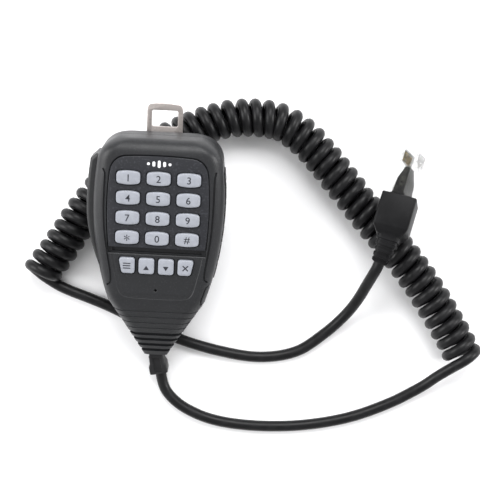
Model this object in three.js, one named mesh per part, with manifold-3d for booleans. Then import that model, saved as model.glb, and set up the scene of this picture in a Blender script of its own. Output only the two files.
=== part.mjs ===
// A hand microphone for a mobile radio: a keypad case with a talk bar, a hanger plate
// and a curly cord that ends in a modular plug. Millimetres, +Z up from the table.
// The case is drawn in its own frame, with x across the keys, y to the hanger and z out of
// the keypad from the parting plane, and is then tilted as it lies: its tail on the table
// and its top propped over the cord's coil.

import * as THREE from 'three';
import { mergeVertices } from 'three/addons/utils/BufferGeometryUtils.js';
import Module from 'manifold-3d';

const wasm = await Module();
wasm.setup();

// ---------------------------------------------------------------- driving dimensions

const gap = 0.3; // between pieces that touch
const tiltAngle = THREE.MathUtils.degToRad(16);

// case
const sideHalf = 28.6; // half width at the widest
const sideBow = 0.00372; // how fast the sides draw in, per mm
const widestY = 20;
const topY = 50;
const topHalf = 17; // half width of the flat top
const cornerRun = 11; // length of the top corners along y
const neckY = -52; // where the funnel ends
const neckHalf = 5.2;
const funnelSlope = 0.574;
const frontHeight = 14;
const neckFront = 1.5;
const funnelStartY = -18;
const backHeight = 12;
const neckBack = 6.4;
const backSlopeY = -8;
const shoulder = 6; // rounding between the front face and the sides
const backShoulder = 5;
const wall = 2.2;
const ceilingZ = 10.6; // underside of the front wall

// keypad panel, laid in a pocket of the front face
const panelHalf = 21.1;
const panelTopY = 43.2;
const panelCornerRun = 6.6;
const panelCornerPull = 1.2;
const panelBottomY = 2.3;
const panelBow = 1.9;
const panelThickness = 1.6;
const grooveWidth = 2.8; // open groove under the panel

// keys
const keyWidth = 10.2;
const keyHeight = 6.1;
const keyBulge = 0.5;
const keyPitchX = 13.05;
const keyPitchY = 8.87;
const topRowY = 33.6;
const menuKeyWidth = 6.8;
const menuKeyHeight = 7.1;
const menuKeyPitch = 8.55;
const menuRowY = -5.7;
const menuKeySlant = 1.1;
const keyProud = 1.1; // how far a key stands out of its face
const keyTravel = 0.8;
const flangeMargin = 0.75;
const flangeThickness = 0.8;

// electronics
const matThickness = 1;
const ledHeight = 0.8;
const boardThickness = 1.6;
const boardHalf = 20.6;
const boardTopY = 40;
const boardBottomY = -10.3;
const capsuleRadius = 4.9;
const capsuleHeight = 4.2;
const soundHoleY = -16.9;
const soundHoleRadius = 0.6;

// talk bar
const barProud = 3.3;
const barTopY = 41.8;
const barBottomY = -9;
const barFrontZ = 7;
const barBackZ = -6;
const barInner = 24.3;
const pivotX = -23.4;
const pivotY = -5.5;
const pinRadius = 1;
const pinBackZ = -8.1;
const pinFrontZ = 9.1;
const pinBossRadius = 2.3;
const lugRadius = 2.1;
const switchY = 17;
const switchZ = 2;
const plungerRadius = 1;

// screws
const caseScrewX = [15, 13];
const caseScrewY = [43.6, -21.4];
const caseScrewRadius = 1.2;
const caseHeadRadius = 2.3;
const caseHeadHeight = 1.6;
const caseWellDepth = 2.3;
const caseTipZ = 6;
const postRadius = 2.8;
const boardScrewX = 10.6;
const boardScrewY = 0.9;
const boardScrewRadius = 0.9;
const boardHeadRadius = 1.8;
const boardHeadHeight = 1.3;
const boardTipZ = 8.9;
const driverSlotHalf = 0.35;
const driverSlotDepth = 0.5;

// hanger plate
const hangerHalf = 8;
const hangerTopY = 61.6;
const hangerRootY = 24;
const hangerThickness = 1.2;
const windowHalf = 5.45;
const windowLowY = 51.4;
const windowHighY = 58.4;
const hangerScrewX = 4.4;
const hangerScrewY = 34;
const hangerScrewRadius = 1.25;
const hangerHole = hangerScrewRadius + gap;
const hangerHeadRadius = 2.5;
const hangerHeadHeight = 1.4;
const hangerTipZ = -7.2;
const hangerPostRadius = 3;
const hangerPostTopZ = -5.6;

// strain relief
const sleeveHalf = 4.15;
const sleeveBack = -8;
const sleeveFront = 0.6;
const sleeveLength = 8.6;
const sleeveDrop = 1.6; // from the neck to the turned block's middle
const sleeveBend = THREE.MathUtils.degToRad(12);

// cord
const cordRadius = 2.5;
const coilRadius = 9;

// boot and modular plug, along their own axis y, tip forward
const bootHalfWidth = 7.9;
const bootHalfHeight = 7.4;
const bootLength = 18.5;
const bootWall = 1.2;
const tailLength = 11;
const tailHalf = 3.6;
const plugHalfWidth = 5.84;
const plugHalfHeight = 3.3;
const plugStartY = 20;
const plugLength = 21.3;
const bootMouthDepth = 6;
const tailRoot = 5.2;
const tailSwing = 1.2;
const tailDrop = 3;
const collarHalf = 5.2;
const wedgeLength = 13;
const wedgeWaist = 0.45; // where its slope changes, as a share of its length
const wedgeTip = [3, 1.2]; // half width and half height at each of its levels
const wedgeMiddle = [4.5, 1.9];
const wedgeRoot = [4.7, 2];
const contactHalf = 4.5;
const contactLength = 5;
const contactDepth = 1.5;
const contactPitch = 1.02;
const bladeHalf = 0.16;
const latchLength = 14;
const latchHalf = 3.1;
const latchTailHalf = 1.6;
const latchThick = 0.6;
const bootFoot = [103.6, 7.4, 28.2];
const plugHeading = THREE.MathUtils.degToRad(15.5);
const plugDip = THREE.MathUtils.degToRad(12);
const bootRoll = THREE.MathUtils.degToRad(15);
const plugRoll = THREE.MathUtils.degToRad(57);

// The cord's route, from the strain relief to the coil, along the coil's middle line, and
// from the coil's far end to the boot. It lies on the table, and rises over the coil.
const lyingZ = cordRadius + 0.2;
const coilZ = coilRadius + 0.05;
const micLeadRoute = [
  [6.5, -68.8, lyingZ], [12.2, -74.4, lyingZ], [20.6, -78.8, lyingZ], [30.1, -81.6, lyingZ],
  [46.5, -83.2, lyingZ], [69.8, -82, lyingZ], [92.9, -77, lyingZ], [111.9, -69.1, lyingZ],
  [120.2, -64.3, 3.5], [126.5, -59.9, 5.5], [131.5, -55.5, 8.5], [133.5, -53.7, 9.8],
];
const coilRoute = [
  [143.8, -47, coilZ], [137.6, -36, coilZ], [130.6, -25.2, coilZ], [123.4, -14.6, coilZ],
  [115.2, -4.2, coilZ], [106, 6.2, coilZ], [97.2, 15.9, coilZ], [88.6, 25.6, coilZ],
  [80.4, 35.1, coilZ], [72.2, 44.2, coilZ], [63.2, 52.6, coilZ], [53.2, 58.2, coilZ],
  [41.6, 59.6, coilZ], [30.4, 58.6, coilZ], [19.6, 55.3, coilZ], [9.6, 50.8, coilZ],
  [-0.2, 45.3, coilZ], [-9.9, 38.9, coilZ], [-18.8, 31.6, coilZ], [-26.6, 23.6, coilZ],
  [-33, 15.2, coilZ], [-37.9, 7.4, coilZ], [-42.1, 0.3, coilZ], [-46.4, -6.6, coilZ],
  [-51, -13.4, coilZ], [-55.8, -20.8, coilZ],
];
const plugLeadRoute = [
  [-46.1, -22.2, lyingZ], [-40.2, -24.6, lyingZ], [-31.6, -27.6, lyingZ], [-22.1, -31, lyingZ],
  [-6.3, -37.7, lyingZ], [9.9, -44.1, lyingZ], [30.8, -49.3, lyingZ], [50.2, -51.1, lyingZ],
  [66.7, -47.5, lyingZ], [78.8, -38.8, 3.3], [84.8, -32.9, 5.2], [89.8, -26.6, 9],
  [93.1, -20.8, 13.8], [95.6, -15, 18.8],
];

// ---------------------------------------------------------------- finishes

function finish(color, roughness, metalness = 0) {
  return new THREE.MeshStandardMaterial({ color, roughness, metalness });
}

const blackPlastic = finish(0x26262a, 0.6);
const panelPlastic = finish(0x2f3036, 0.45);
const keyRubber = finish(0xb4b9cc, 0.4);
const greyRubber = finish(0x8c8f94, 0.7);
const blackRubber = finish(0x1d1d1f, 0.65);
const cordRubber = finish(0x202022, 0.5);
const steel = finish(0xb9b3ae, 0.35, 0.9);
const darkSteel = finish(0x5a5a5e, 0.4, 0.8);
const boardGreen = finish(0x1d5a35, 0.5);
const chipBlack = finish(0x17171a, 0.5);
const ledWhite = finish(0xeae6cf, 0.3);
const clearPlastic = finish(0xdfe6ea, 0.08);
const gold = finish(0xc9a24a, 0.25, 1);

// ---------------------------------------------------------------- solids

/** Merged vertices make the closed solid that cuts and joins need. */
function toSolid(geometry) {
  const bare = geometry.clone();
  bare.deleteAttribute('normal');
  bare.deleteAttribute('uv');
  const merged = mergeVertices(bare, 1e-4);
  const mesh = new wasm.Mesh({
    numProp: 3,
    vertProperties: new Float32Array(merged.attributes.position.array),
    triVerts: new Uint32Array(merged.index.array),
  });
  return new wasm.Manifold(mesh);
}

function toGeometry(solid) {
  const mesh = solid.getMesh();
  const geometry = new THREE.BufferGeometry();
  geometry.setAttribute('position', new THREE.BufferAttribute(mesh.vertProperties, 3));
  geometry.setIndex(new THREE.BufferAttribute(mesh.triVerts, 1));
  return geometry;
}

function join(first, ...others) {
  return toGeometry(others.reduce((solid, other) => solid.add(toSolid(other)), toSolid(first)));
}

function cut(base, ...tools) {
  return toGeometry(tools.reduce((solid, tool) => solid.subtract(toSolid(tool)), toSolid(base)));
}

function common(first, second) {
  return toGeometry(toSolid(first).intersect(toSolid(second)));
}

/** A box from its lowest to its highest corner. */
function block(low, high) {
  const size = high.map((value, axis) => value - low[axis]);
  const centre = high.map((value, axis) => (value + low[axis]) / 2);
  return new THREE.BoxGeometry(...size).translate(...centre);
}

/** A round bar along z at (x, y). */
function rod(radius, x, y, lowZ, highZ, sides = 16) {
  const bar = new THREE.CylinderGeometry(radius, radius, highZ - lowZ, sides);
  return bar.rotateX(Math.PI / 2).translate(x, y, (lowZ + highZ) / 2);
}

/** A flat outline raised along z. */
function plate(shape, lowZ, highZ, curveSegments = 4) {
  const options = { depth: highZ - lowZ, bevelEnabled: false, curveSegments };
  return new THREE.ExtrudeGeometry(shape, options).translate(0, 0, lowZ);
}

/** A closed skin over rings of equal count; each ring is convex and turns left as seen from the end. */
function loft(rings) {
  const count = rings[0].length;
  const positions = rings.flat().flatMap((point) => [point.x, point.y, point.z]);
  const index = [];
  for (let ring = 0; ring < rings.length - 1; ring += 1) {
    for (let side = 0; side < count; side += 1) {
      const a = ring * count + side;
      const b = ring * count + ((side + 1) % count);
      index.push(a, b, b + count, a, b + count, a + count);
    }
  }
  const last = (rings.length - 1) * count;
  for (let side = 1; side < count - 1; side += 1) {
    index.push(0, side + 1, side);
    index.push(last, last + side, last + side + 1);
  }
  const geometry = new THREE.BufferGeometry();
  geometry.setAttribute('position', new THREE.Float32BufferAttribute(positions, 3));
  geometry.setIndex(index);
  return geometry;
}

// ---------------------------------------------------------------- case profile

/** Half width of the case at y: bowed sides, rounded top corners and a straight funnel. */
function halfWidthAt(y) {
  const bowed = sideHalf - sideBow * (y - widestY) ** 2;
  const funnel = neckHalf + funnelSlope * (y - neckY);
  const cornerStart = topY - cornerRun;
  if (y <= cornerStart) {
    return Math.min(bowed, funnel);
  }
  const along = Math.min((y - cornerStart) / cornerRun, 1);
  const full = sideHalf - sideBow * (cornerStart - widestY) ** 2;
  return topHalf + (full - topHalf) * (1 - along ** 2) ** 0.65;
}

/** Height of a face over the parting plane, with a rounded top edge and a falling tail. */
function faceHeightAt(y, full, edge, tailStart, tailHeight, tailPower) {
  if (y > topY - edge) {
    const along = Math.min((y - topY + edge) / edge, 1);
    return full - edge + edge * Math.sqrt(1 - along ** 2);
  }
  if (y < tailStart) {
    const along = (tailStart - y) / (tailStart - neckY);
    return full - (full - tailHeight) * along ** tailPower;
  }
  return full;
}

function frontAt(y) {
  return faceHeightAt(y, frontHeight, shoulder, funnelStartY, neckFront, 1.5);
}

function backAt(y) {
  return faceHeightAt(y, backHeight, backShoulder, backSlopeY, neckBack, 0.9);
}

/** Half a cross section: flat on z = base, straight sides, rounded shoulders, flat top. */
function section(y, half, height, base, rounding) {
  const shoulderX = Math.min(rounding, half * 0.45);
  const shoulderZ = Math.min(rounding, height * 0.6);
  const side = [new THREE.Vector2(half, base)];
  for (let step = 0; step <= 4; step += 1) {
    const angle = (step / 4) * (Math.PI / 2);
    const x = half - shoulderX + shoulderX * Math.cos(angle);
    side.push(new THREE.Vector2(x, height - shoulderZ + shoulderZ * Math.sin(angle)));
  }
  const right = side.map((point) => new THREE.Vector3(point.x, y, point.y));
  const left = side.map((point) => new THREE.Vector3(-point.x, y, point.y));
  return [...right, ...left.reverse()];
}

/** Stations along y, close together where the top edge rounds over. */
function stations(lowY, highY, edge) {
  const list = [];
  for (let step = 0; step < 5; step += 1) {
    list.push(highY - edge + edge * Math.cos((step / 5) * (Math.PI / 2)));
  }
  const spread = 13;
  for (let step = 0; step <= spread; step += 1) {
    list.push(highY - edge + ((lowY - highY + edge) * step) / spread);
  }
  return list;
}

/** One half of the case as a solid, or the hollow in it when the walls are taken off. */
function caseHalf(heightAt, edge, base, side, limit, lowY, highY) {
  const rings = stations(lowY, highY, edge).map((y) => {
    const height = Math.min(heightAt(y) - side, limit);
    return section(y, halfWidthAt(y) - side, height, base, edge - side * 0.5);
  });
  return loft(rings);
}

const frontOuter = caseHalf(frontAt, shoulder, gap / 2, 0, frontHeight, neckY, topY);
const frontInner = caseHalf(frontAt, shoulder, -1, wall, ceilingZ, neckY + 4.4, topY - wall);
const backOuter = caseHalf(backAt, backShoulder, gap / 2, 0, backHeight, neckY, topY);
const backInner = caseHalf(backAt, backShoulder, -1, wall, backHeight, neckY + 4.4, topY - wall);

/** The back half is drawn like the front one and turned over about y. */
function turnOver(geometry) {
  return geometry.rotateY(Math.PI);
}

// ---------------------------------------------------------------- outlines

/** The keypad panel's outline; grow widens it to the pocket that takes it. */
function panelOutline(grow, bottomY) {
  const half = panelHalf + grow;
  const top = panelTopY + grow;
  const shape = new THREE.Shape();
  shape.moveTo(-half, bottomY);
  shape.lineTo(half, bottomY);
  shape.quadraticCurveTo(half + panelBow, 20, half, panelTopY - 7);
  shape.quadraticCurveTo(half - panelCornerPull, top - panelCornerPull, half - panelCornerRun, top - 0.4);
  shape.quadraticCurveTo(0, top + 0.7, -half + panelCornerRun, top - 0.4);
  shape.quadraticCurveTo(-half + panelCornerPull, top - panelCornerPull, -half, panelTopY - 7);
  shape.quadraticCurveTo(-half - panelBow, 20, -half, bottomY);
  return shape;
}

/** A number key: a rounded bar whose long edges bulge. */
function barrelOutline(x, y, grow) {
  const half = keyWidth / 2 + grow;
  const rise = keyHeight / 2 + grow;
  const corner = 1.7;
  const low = rise - keyBulge;
  const shape = new THREE.Shape();
  shape.moveTo(x - half + corner, y - low);
  shape.quadraticCurveTo(x, y - rise - keyBulge, x + half - corner, y - low);
  shape.quadraticCurveTo(x + half, y - low + 0.2, x + half, y - low + corner);
  shape.lineTo(x + half, y + low - corner);
  shape.quadraticCurveTo(x + half, y + low - 0.2, x + half - corner, y + low);
  shape.quadraticCurveTo(x, y + rise + keyBulge, x - half + corner, y + low);
  shape.quadraticCurveTo(x - half, y + low - 0.2, x - half, y + low - corner);
  shape.lineTo(x - half, y - low + corner);
  shape.quadraticCurveTo(x - half, y - low + 0.2, x - half + corner, y - low);
  return shape;
}

/** A lower key: a rounded square; slant draws in the bottom of its outer side. */
function squareOutline(x, y, grow, slantLeft, slantRight) {
  const half = menuKeyWidth / 2 + grow;
  const rise = menuKeyHeight / 2 + grow;
  const corner = 1.4;
  const leftFoot = x - half + slantLeft;
  const rightFoot = x + half - slantRight;
  const shape = new THREE.Shape();
  shape.moveTo(leftFoot + corner, y - rise);
  shape.lineTo(rightFoot - corner, y - rise);
  shape.quadraticCurveTo(rightFoot, y - rise, rightFoot + slantRight * 0.2, y - rise + corner);
  shape.lineTo(x + half, y + rise - corner);
  shape.quadraticCurveTo(x + half, y + rise, x + half - corner, y + rise);
  shape.lineTo(x - half + corner, y + rise);
  shape.quadraticCurveTo(x - half, y + rise, x - half, y + rise - corner);
  shape.lineTo(leftFoot - slantLeft * 0.2, y - rise + corner);
  shape.quadraticCurveTo(leftFoot, y - rise, leftFoot + corner, y - rise);
  return shape;
}

/** A strip along one side of the case, from inX to outX off its side line. */
function sideStrip(sign, lowY, highY, inner, outer, lowZ, highZ) {
  const steps = 7;
  const shape = new THREE.Shape();
  for (let step = 0; step <= steps; step += 1) {
    const y = lowY + ((highY - lowY) * step) / steps;
    const x = sign * (halfWidthAt(y) + outer);
    if (step === 0) {
      shape.moveTo(x, y);
    } else {
      shape.lineTo(x, y);
    }
  }
  for (let step = steps; step >= 0; step -= 1) {
    const y = lowY + ((highY - lowY) * step) / steps;
    shape.lineTo(sign * (halfWidthAt(y) - inner), y);
  }
  shape.closePath();
  return plate(shape, lowZ, highZ);
}

// ---------------------------------------------------------------- keys

const numberKeys = [
  ['key_1', 'key_2', 'key_3'],
  ['key_4', 'key_5', 'key_6'],
  ['key_7', 'key_8', 'key_9'],
  ['key_star', 'key_0', 'key_hash'],
];
const menuKeys = ['key_menu', 'key_up', 'key_down', 'key_exit'];

const keys = [];
numberKeys.forEach((row, line) => {
  row.forEach((name, column) => {
    const x = (column - 1) * keyPitchX;
    const y = topRowY - line * keyPitchY;
    keys.push({ name, x, y, onPanel: true, outline: (grow) => barrelOutline(x, y, grow) });
  });
});
menuKeys.forEach((name, column) => {
  const x = (column - 1.5) * menuKeyPitch;
  const left = column === 0 ? menuKeySlant : 0;
  const right = column === menuKeys.length - 1 ? menuKeySlant : 0;
  const outline = (grow) => squareOutline(x, menuRowY, grow, left, right);
  keys.push({ name, x, y: menuRowY, onPanel: false, outline });
});

const flangeTop = ceilingZ - gap;
const flangeBottom = flangeTop - flangeThickness;

/** A key: its cap, and a flange that keeps it behind the front wall. */
function keySolid(key) {
  const cap = plate(key.outline(0), flangeBottom + 0.2, frontHeight + keyProud, 3);
  const half = (key.onPanel ? keyWidth : menuKeyWidth) / 2 + flangeMargin;
  const rise = (key.onPanel ? keyHeight : menuKeyHeight) / 2 + flangeMargin;
  const low = [key.x - half, key.y - rise, flangeBottom];
  const high = [key.x + half, key.y + rise, flangeTop];
  return join(cap, block(low, high));
}

// ---------------------------------------------------------------- stack behind the keys

const matTop = flangeBottom - keyTravel - gap;
const matBottom = matTop - matThickness;
const ledTop = matBottom - gap;
const boardTop = ledTop - ledHeight - gap;
const boardBottom = boardTop - boardThickness;
const partsTop = boardBottom - gap; // top of what is soldered behind the board
const capsuleTop = ceilingZ - 2 * gap;

/** The board's outline, a rectangle with clipped lower corners. */
function boardOutline(inset) {
  const half = boardHalf - inset;
  const top = boardTopY - inset;
  const bottom = boardBottomY + inset;
  const shape = new THREE.Shape();
  shape.moveTo(-half + 3, bottom);
  shape.lineTo(half - 3, bottom);
  shape.lineTo(half, bottom + 6);
  shape.lineTo(half, top);
  shape.lineTo(-half, top);
  shape.lineTo(-half, bottom + 6);
  return shape;
}

const boardScrews = [-boardScrewX, boardScrewX].map((x) => ({ x, y: boardScrewY }));
const caseScrews = caseScrewX.flatMap((x, row) => [
  { x: -x, y: caseScrewY[row] },
  { x, y: caseScrewY[row] },
]);

// ---------------------------------------------------------------- talk bar

/** Outer line of the talk bar: it stands proud of the case and runs in to it at its foot. */
function barOuterAt(y) {
  const along = (y - barBottomY) / (barTopY - barBottomY);
  const swell = Math.sin(Math.PI * Math.min(0.5, along * 0.9 + 0.05));
  return halfWidthAt(Math.min(y, topY - cornerRun)) + barProud * swell;
}

function talkBar() {
  const shape = new THREE.Shape();
  const steps = 9;
  const cornerX = 2.6;
  shape.moveTo(-barInner, barBottomY + 1);
  shape.lineTo(-barInner, barTopY);
  shape.lineTo(-barOuterAt(barTopY) + cornerX, barTopY);
  for (let step = steps; step >= 0; step -= 1) {
    const y = barBottomY + ((barTopY - 2.4 - barBottomY) * step) / steps;
    shape.lineTo(-barOuterAt(y), y);
  }
  const bar = plate(shape, barBackZ, barFrontZ);
  const lug = rod(lugRadius, pivotX, pivotY, barBackZ, barFrontZ);
  const nub = block([-barInner - 0.5, switchY - 1.5, switchZ - 1], [-22.1, switchY + 1.5, switchZ + 1]);
  const flangeLow = [-24.7, 26, barBackZ - 1.1];
  const flangeHigh = [-23.6, 34, barFrontZ + 1.1];
  const solid = join(bar, lug, nub, block(flangeLow, flangeHigh));
  return cut(solid, rod(pinRadius + gap, pivotX, pivotY, barBackZ - 1, barFrontZ + 1));
}

/** The opening in the case's side that the bar moves in. */
const barOpening = block(
  [-sideHalf - barProud - 2, barBottomY - 0.4, barBackZ - gap],
  [pivotX + 2.6, barTopY + 0.5, barFrontZ + gap],
);

// ---------------------------------------------------------------- case halves

const gripLowY = -12;
const gripHighY = 36;
const gripZ = [-5.5, 6.5];
const gripDepth = 0.9;
const gripProud = 0.5;
const gripPocket = sideStrip(
  1, gripLowY - gap, gripHighY + gap, gripDepth + gap, 3, gripZ[0] - gap, gripZ[1] + gap,
);

const neckHole = block([-3.3, neckY - 1, -5.2], [3.3, neckY + 6, 0.9]);

function frontCase() {
  const bossTop = ceilingZ + 0.4;
  const posts = caseScrews.map((screw) => rod(postRadius, screw.x, screw.y, gap / 2, bossTop));
  const boardPosts = boardScrews.map((screw) => rod(2, screw.x, screw.y, boardTop + gap, bossTop));
  const pinBoss = rod(pinBossRadius, pivotX, pivotY, barFrontZ + gap, bossTop);
  const bosses = common(join(...posts, ...boardPosts, pinBoss), frontOuter);
  const shell = join(cut(frontOuter, frontInner, barOpening), bosses);
  const pocketFloor = frontHeight - panelThickness - gap;
  const pocket = plate(panelOutline(gap, panelBottomY - grooveWidth), pocketFloor, frontHeight + 2);
  const apertures = keys.map((key) => plate(key.outline(gap), ceilingZ - 1, frontHeight + 2, 3));
  const screwHoles = caseScrews.map((screw) =>
    rod(caseScrewRadius + gap, screw.x, screw.y, -1, caseTipZ + gap, 12)
  );
  const boardHoles = boardScrews.map((screw) => (
    rod(boardScrewRadius + gap, screw.x, screw.y, boardTop - 1, boardTipZ + gap, 12)
  ));
  const pinHole = rod(pinRadius + gap, pivotX, pivotY, barFrontZ - 1, pinFrontZ + gap);
  const soundHole = rod(soundHoleRadius, 0, soundHoleY, ceilingZ - 2, frontHeight + 2, 12);
  const cuts = [pocket, ...apertures, ...screwHoles, ...boardHoles, pinHole, soundHole];
  return cut(shell, ...cuts, gripPocket, neckHole);
}

function rearCase() {
  const outer = turnOver(backOuter);
  const inner = turnOver(backInner);
  const posts = caseScrews.map((screw) => rod(3, screw.x, screw.y, -backHeight, -gap / 2));
  const hangerPosts = [-1, 1].map((side) => (
    rod(hangerPostRadius, side * hangerScrewX, hangerScrewY, -backHeight + 0.5, hangerPostTopZ)
  ));
  const pinBoss = rod(pinBossRadius, pivotX, pivotY, -backHeight, barBackZ - gap);
  const bosses = common(join(...posts, ...hangerPosts, pinBoss), outer);
  const shell = join(cut(outer, inner, barOpening), bosses);
  const shafts = caseScrews.map((screw) => rod(caseScrewRadius + gap, screw.x, screw.y, -20, 1, 12));
  const heads = caseScrews.map((screw) => {
    const face = screw.y < backSlopeY ? backAt(screw.y) : backHeight;
    return rod(caseHeadRadius + gap, screw.x, screw.y, -20, -face + caseWellDepth);
  });
  const hangerHoles = [-1, 1].map((side) =>
    rod(hangerHole, side * hangerScrewX, hangerScrewY, -20, hangerTipZ + gap, 12)
  );
  const pinHole = rod(pinRadius + gap, pivotX, pivotY, pinBackZ - gap, barBackZ + 1);
  return cut(shell, ...shafts, ...heads, ...hangerHoles, pinHole, gripPocket, neckHole);
}

// ---------------------------------------------------------------- small pieces

function screw(x, y, headRadius, headLow, headHigh, shaftRadius, tipZ) {
  const head = rod(headRadius, x, y, headLow, headHigh);
  const shaft = rod(shaftRadius, x, y, headHigh - 0.2, tipZ, 12);
  const slotLow = [x - driverSlotHalf, y - headRadius, headLow - 1];
  const slot = block(slotLow, [x + driverSlotHalf, y + headRadius, headLow + driverSlotDepth]);
  return cut(join(head, shaft), slot);
}

function keypadPanel() {
  const floor = frontHeight - panelThickness;
  const blank = plate(panelOutline(0, panelBottomY), floor, frontHeight);
  const onPanel = keys.filter((key) => key.onPanel);
  return cut(blank, ...onPanel.map((key) => plate(key.outline(gap), floor - 1, frontHeight + 1, 3)));
}

function circuitBoard() {
  const blank = plate(boardOutline(0), boardBottom, boardTop);
  const holes = boardScrews.map((at) => (
    rod(boardScrewRadius + gap, at.x, at.y, boardBottom - 1, boardTop + 1, 12)
  ));
  return cut(blank, ...holes);
}

function keypadMat() {
  const blank = plate(boardOutline(0.5), matBottom, matTop);
  const holes = boardScrews.map((at) => rod(2 + gap, at.x, at.y, matBottom - 1, matTop + 1, 12));
  return cut(blank, ...holes);
}

function talkSwitch() {
  const body = block([-20.3, switchY - 3, 0.1], [-14.3, switchY + 3, partsTop]);
  const bore = new THREE.CylinderGeometry(plungerRadius + gap, plungerRadius + gap, 4, 16);
  bore.rotateZ(Math.PI / 2).translate(-19.4, switchY, switchZ);
  return cut(body, bore);
}

function switchPlunger() {
  const bar = new THREE.CylinderGeometry(plungerRadius, plungerRadius, 3.2, 16);
  return bar.rotateZ(Math.PI / 2).translate(-20.2, switchY, switchZ);
}

function capsuleGasket() {
  const inner = capsuleRadius + gap;
  const outer = inner + 1.1;
  const top = capsuleTop;
  const profile = [
    new THREE.Vector2(inner, top - capsuleHeight),
    new THREE.Vector2(outer, top - capsuleHeight),
    new THREE.Vector2(outer, top),
    new THREE.Vector2(inner, top),
    new THREE.Vector2(inner, top - capsuleHeight),
  ];
  return new THREE.LatheGeometry(profile, 20).rotateX(Math.PI / 2).translate(0, soundHoleY, 0);
}

function hangerPlate() {
  const back = -backHeight - gap - hangerThickness;
  const corner = 3;
  const shape = new THREE.Shape();
  shape.moveTo(-hangerHalf, hangerRootY);
  shape.lineTo(hangerHalf, hangerRootY);
  shape.lineTo(hangerHalf, hangerTopY - corner);
  shape.quadraticCurveTo(hangerHalf, hangerTopY - 0.7, hangerHalf - corner, hangerTopY - 0.6);
  shape.quadraticCurveTo(0, hangerTopY + 0.6, -hangerHalf + corner, hangerTopY - 0.6);
  shape.quadraticCurveTo(-hangerHalf, hangerTopY - 0.7, -hangerHalf, hangerTopY - corner);
  const blank = plate(shape, back, back + hangerThickness);
  const low = [-windowHalf, windowLowY, back - 1];
  const high = [windowHalf, windowHighY, back + hangerThickness + 1];
  const holes = [-1, 1].map((side) =>
    rod(hangerHole, side * hangerScrewX, hangerScrewY, back - 1, back + 3, 12)
  );
  return cut(blank, block(low, high), ...holes);
}

/** The rubber sleeve: a flange behind the neck, a root through it and a bent block outside. */
function strainRelief() {
  const root = block([-3, neckY - 0.6, -4.9], [3, neckY + 5, 0.6]);
  const flange = block([-4.3, neckY + 4.7, -3.9], [4.3, neckY + 6.4, 0.6]);
  const low = [-sleeveHalf, -sleeveLength, sleeveBack];
  const high = [sleeveHalf, 0.4, sleeveFront];
  const outside = block(low, high).rotateZ(sleeveBend).translate(0, neckY - sleeveDrop, 0);
  return join(outside, root, flange);
}

/** Middle of the sleeve's end face, and the way that the cord leaves it. */
const sleeveEnd = new THREE.Vector3(0.4, -sleeveLength, (sleeveBack + sleeveFront) / 2);
sleeveEnd.applyAxisAngle(new THREE.Vector3(0, 0, 1), sleeveBend);
sleeveEnd.add(new THREE.Vector3(0, neckY - sleeveDrop, 0));
const sleeveWay = new THREE.Vector3(0, -1, 0).applyAxisAngle(new THREE.Vector3(0, 0, 1), sleeveBend);

// ---------------------------------------------------------------- the microphone

const microphone = new THREE.Group();
microphone.rotation.x = tiltAngle;

function place(group, name, geometry, material) {
  const mesh = new THREE.Mesh(geometry, material);
  mesh.name = name;
  group.add(mesh);
  return mesh;
}

place(microphone, 'front_case', frontCase(), blackPlastic);
place(microphone, 'rear_case', rearCase(), blackPlastic);
place(microphone, 'keypad_panel', keypadPanel(), panelPlastic);
const gripPad = sideStrip(1, gripLowY, gripHighY, gripDepth, gripProud, gripZ[0], gripZ[1]);
place(microphone, 'side_grip', gripPad, blackRubber);
keys.forEach((key) => place(microphone, key.name, keySolid(key), keyRubber));
place(microphone, 'keypad_mat', keypadMat(), greyRubber);
place(microphone, 'circuit_board', circuitBoard(), boardGreen);
const chip = block([-5, 18, partsTop - 1.2], [5, 28, partsTop]);
place(microphone, 'controller_chip', chip, chipBlack);
const header = block([-6, -7, partsTop - 3.4], [6, -2.5, partsTop]);
place(microphone, 'wire_header', header, ledWhite);
const ledRows = [topRowY - keyPitchY / 2, topRowY - 2.5 * keyPitchY];
ledRows.forEach((y, row) => {
  [-1, 1].forEach((side, column) => {
    const x = side * keyPitchX * 0.5;
    const led = block([x - 0.8, y - 0.5, boardTop + gap], [x + 0.8, y + 0.5, ledTop]);
    place(microphone, `backlight_led_${row * 2 + column + 1}`, led, ledWhite);
  });
});
const capsule = rod(capsuleRadius, 0, soundHoleY, capsuleTop - capsuleHeight, capsuleTop, 20);
place(microphone, 'mic_capsule', capsule, darkSteel);
place(microphone, 'capsule_gasket', capsuleGasket(), blackRubber);
place(microphone, 'talk_bar', talkBar(), blackPlastic);
place(microphone, 'talk_bar_pin', rod(pinRadius, pivotX, pivotY, pinBackZ, pinFrontZ), steel);
place(microphone, 'talk_switch', talkSwitch(), chipBlack);
place(microphone, 'switch_plunger', switchPlunger(), ledWhite);
place(microphone, 'hanger_plate', hangerPlate(), steel);
const plateBack = -backHeight - gap - hangerThickness;
[-1, 1].forEach((side, number) => {
  const x = side * hangerScrewX;
  const headHigh = plateBack - gap;
  const headLow = headHigh - hangerHeadHeight;
  const piece = screw(x, hangerScrewY, hangerHeadRadius, headLow, headHigh, hangerScrewRadius, hangerTipZ);
  place(microphone, `hanger_screw_${number + 1}`, piece, steel);
});
caseScrews.forEach((at, number) => {
  const face = at.y < backSlopeY ? backAt(at.y) : backHeight;
  const headHigh = -face + 2;
  const headLow = headHigh - caseHeadHeight;
  const piece = screw(at.x, at.y, caseHeadRadius, headLow, headHigh, caseScrewRadius, caseTipZ);
  place(microphone, `case_screw_${number + 1}`, piece, darkSteel);
});
boardScrews.forEach((at, number) => {
  const headLow = partsTop - boardHeadHeight;
  const piece = screw(at.x, at.y, boardHeadRadius, headLow, partsTop, boardScrewRadius, boardTipZ);
  place(microphone, `board_screw_${number + 1}`, piece, steel);
});
place(microphone, 'strain_relief', strainRelief(), blackRubber);

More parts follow.
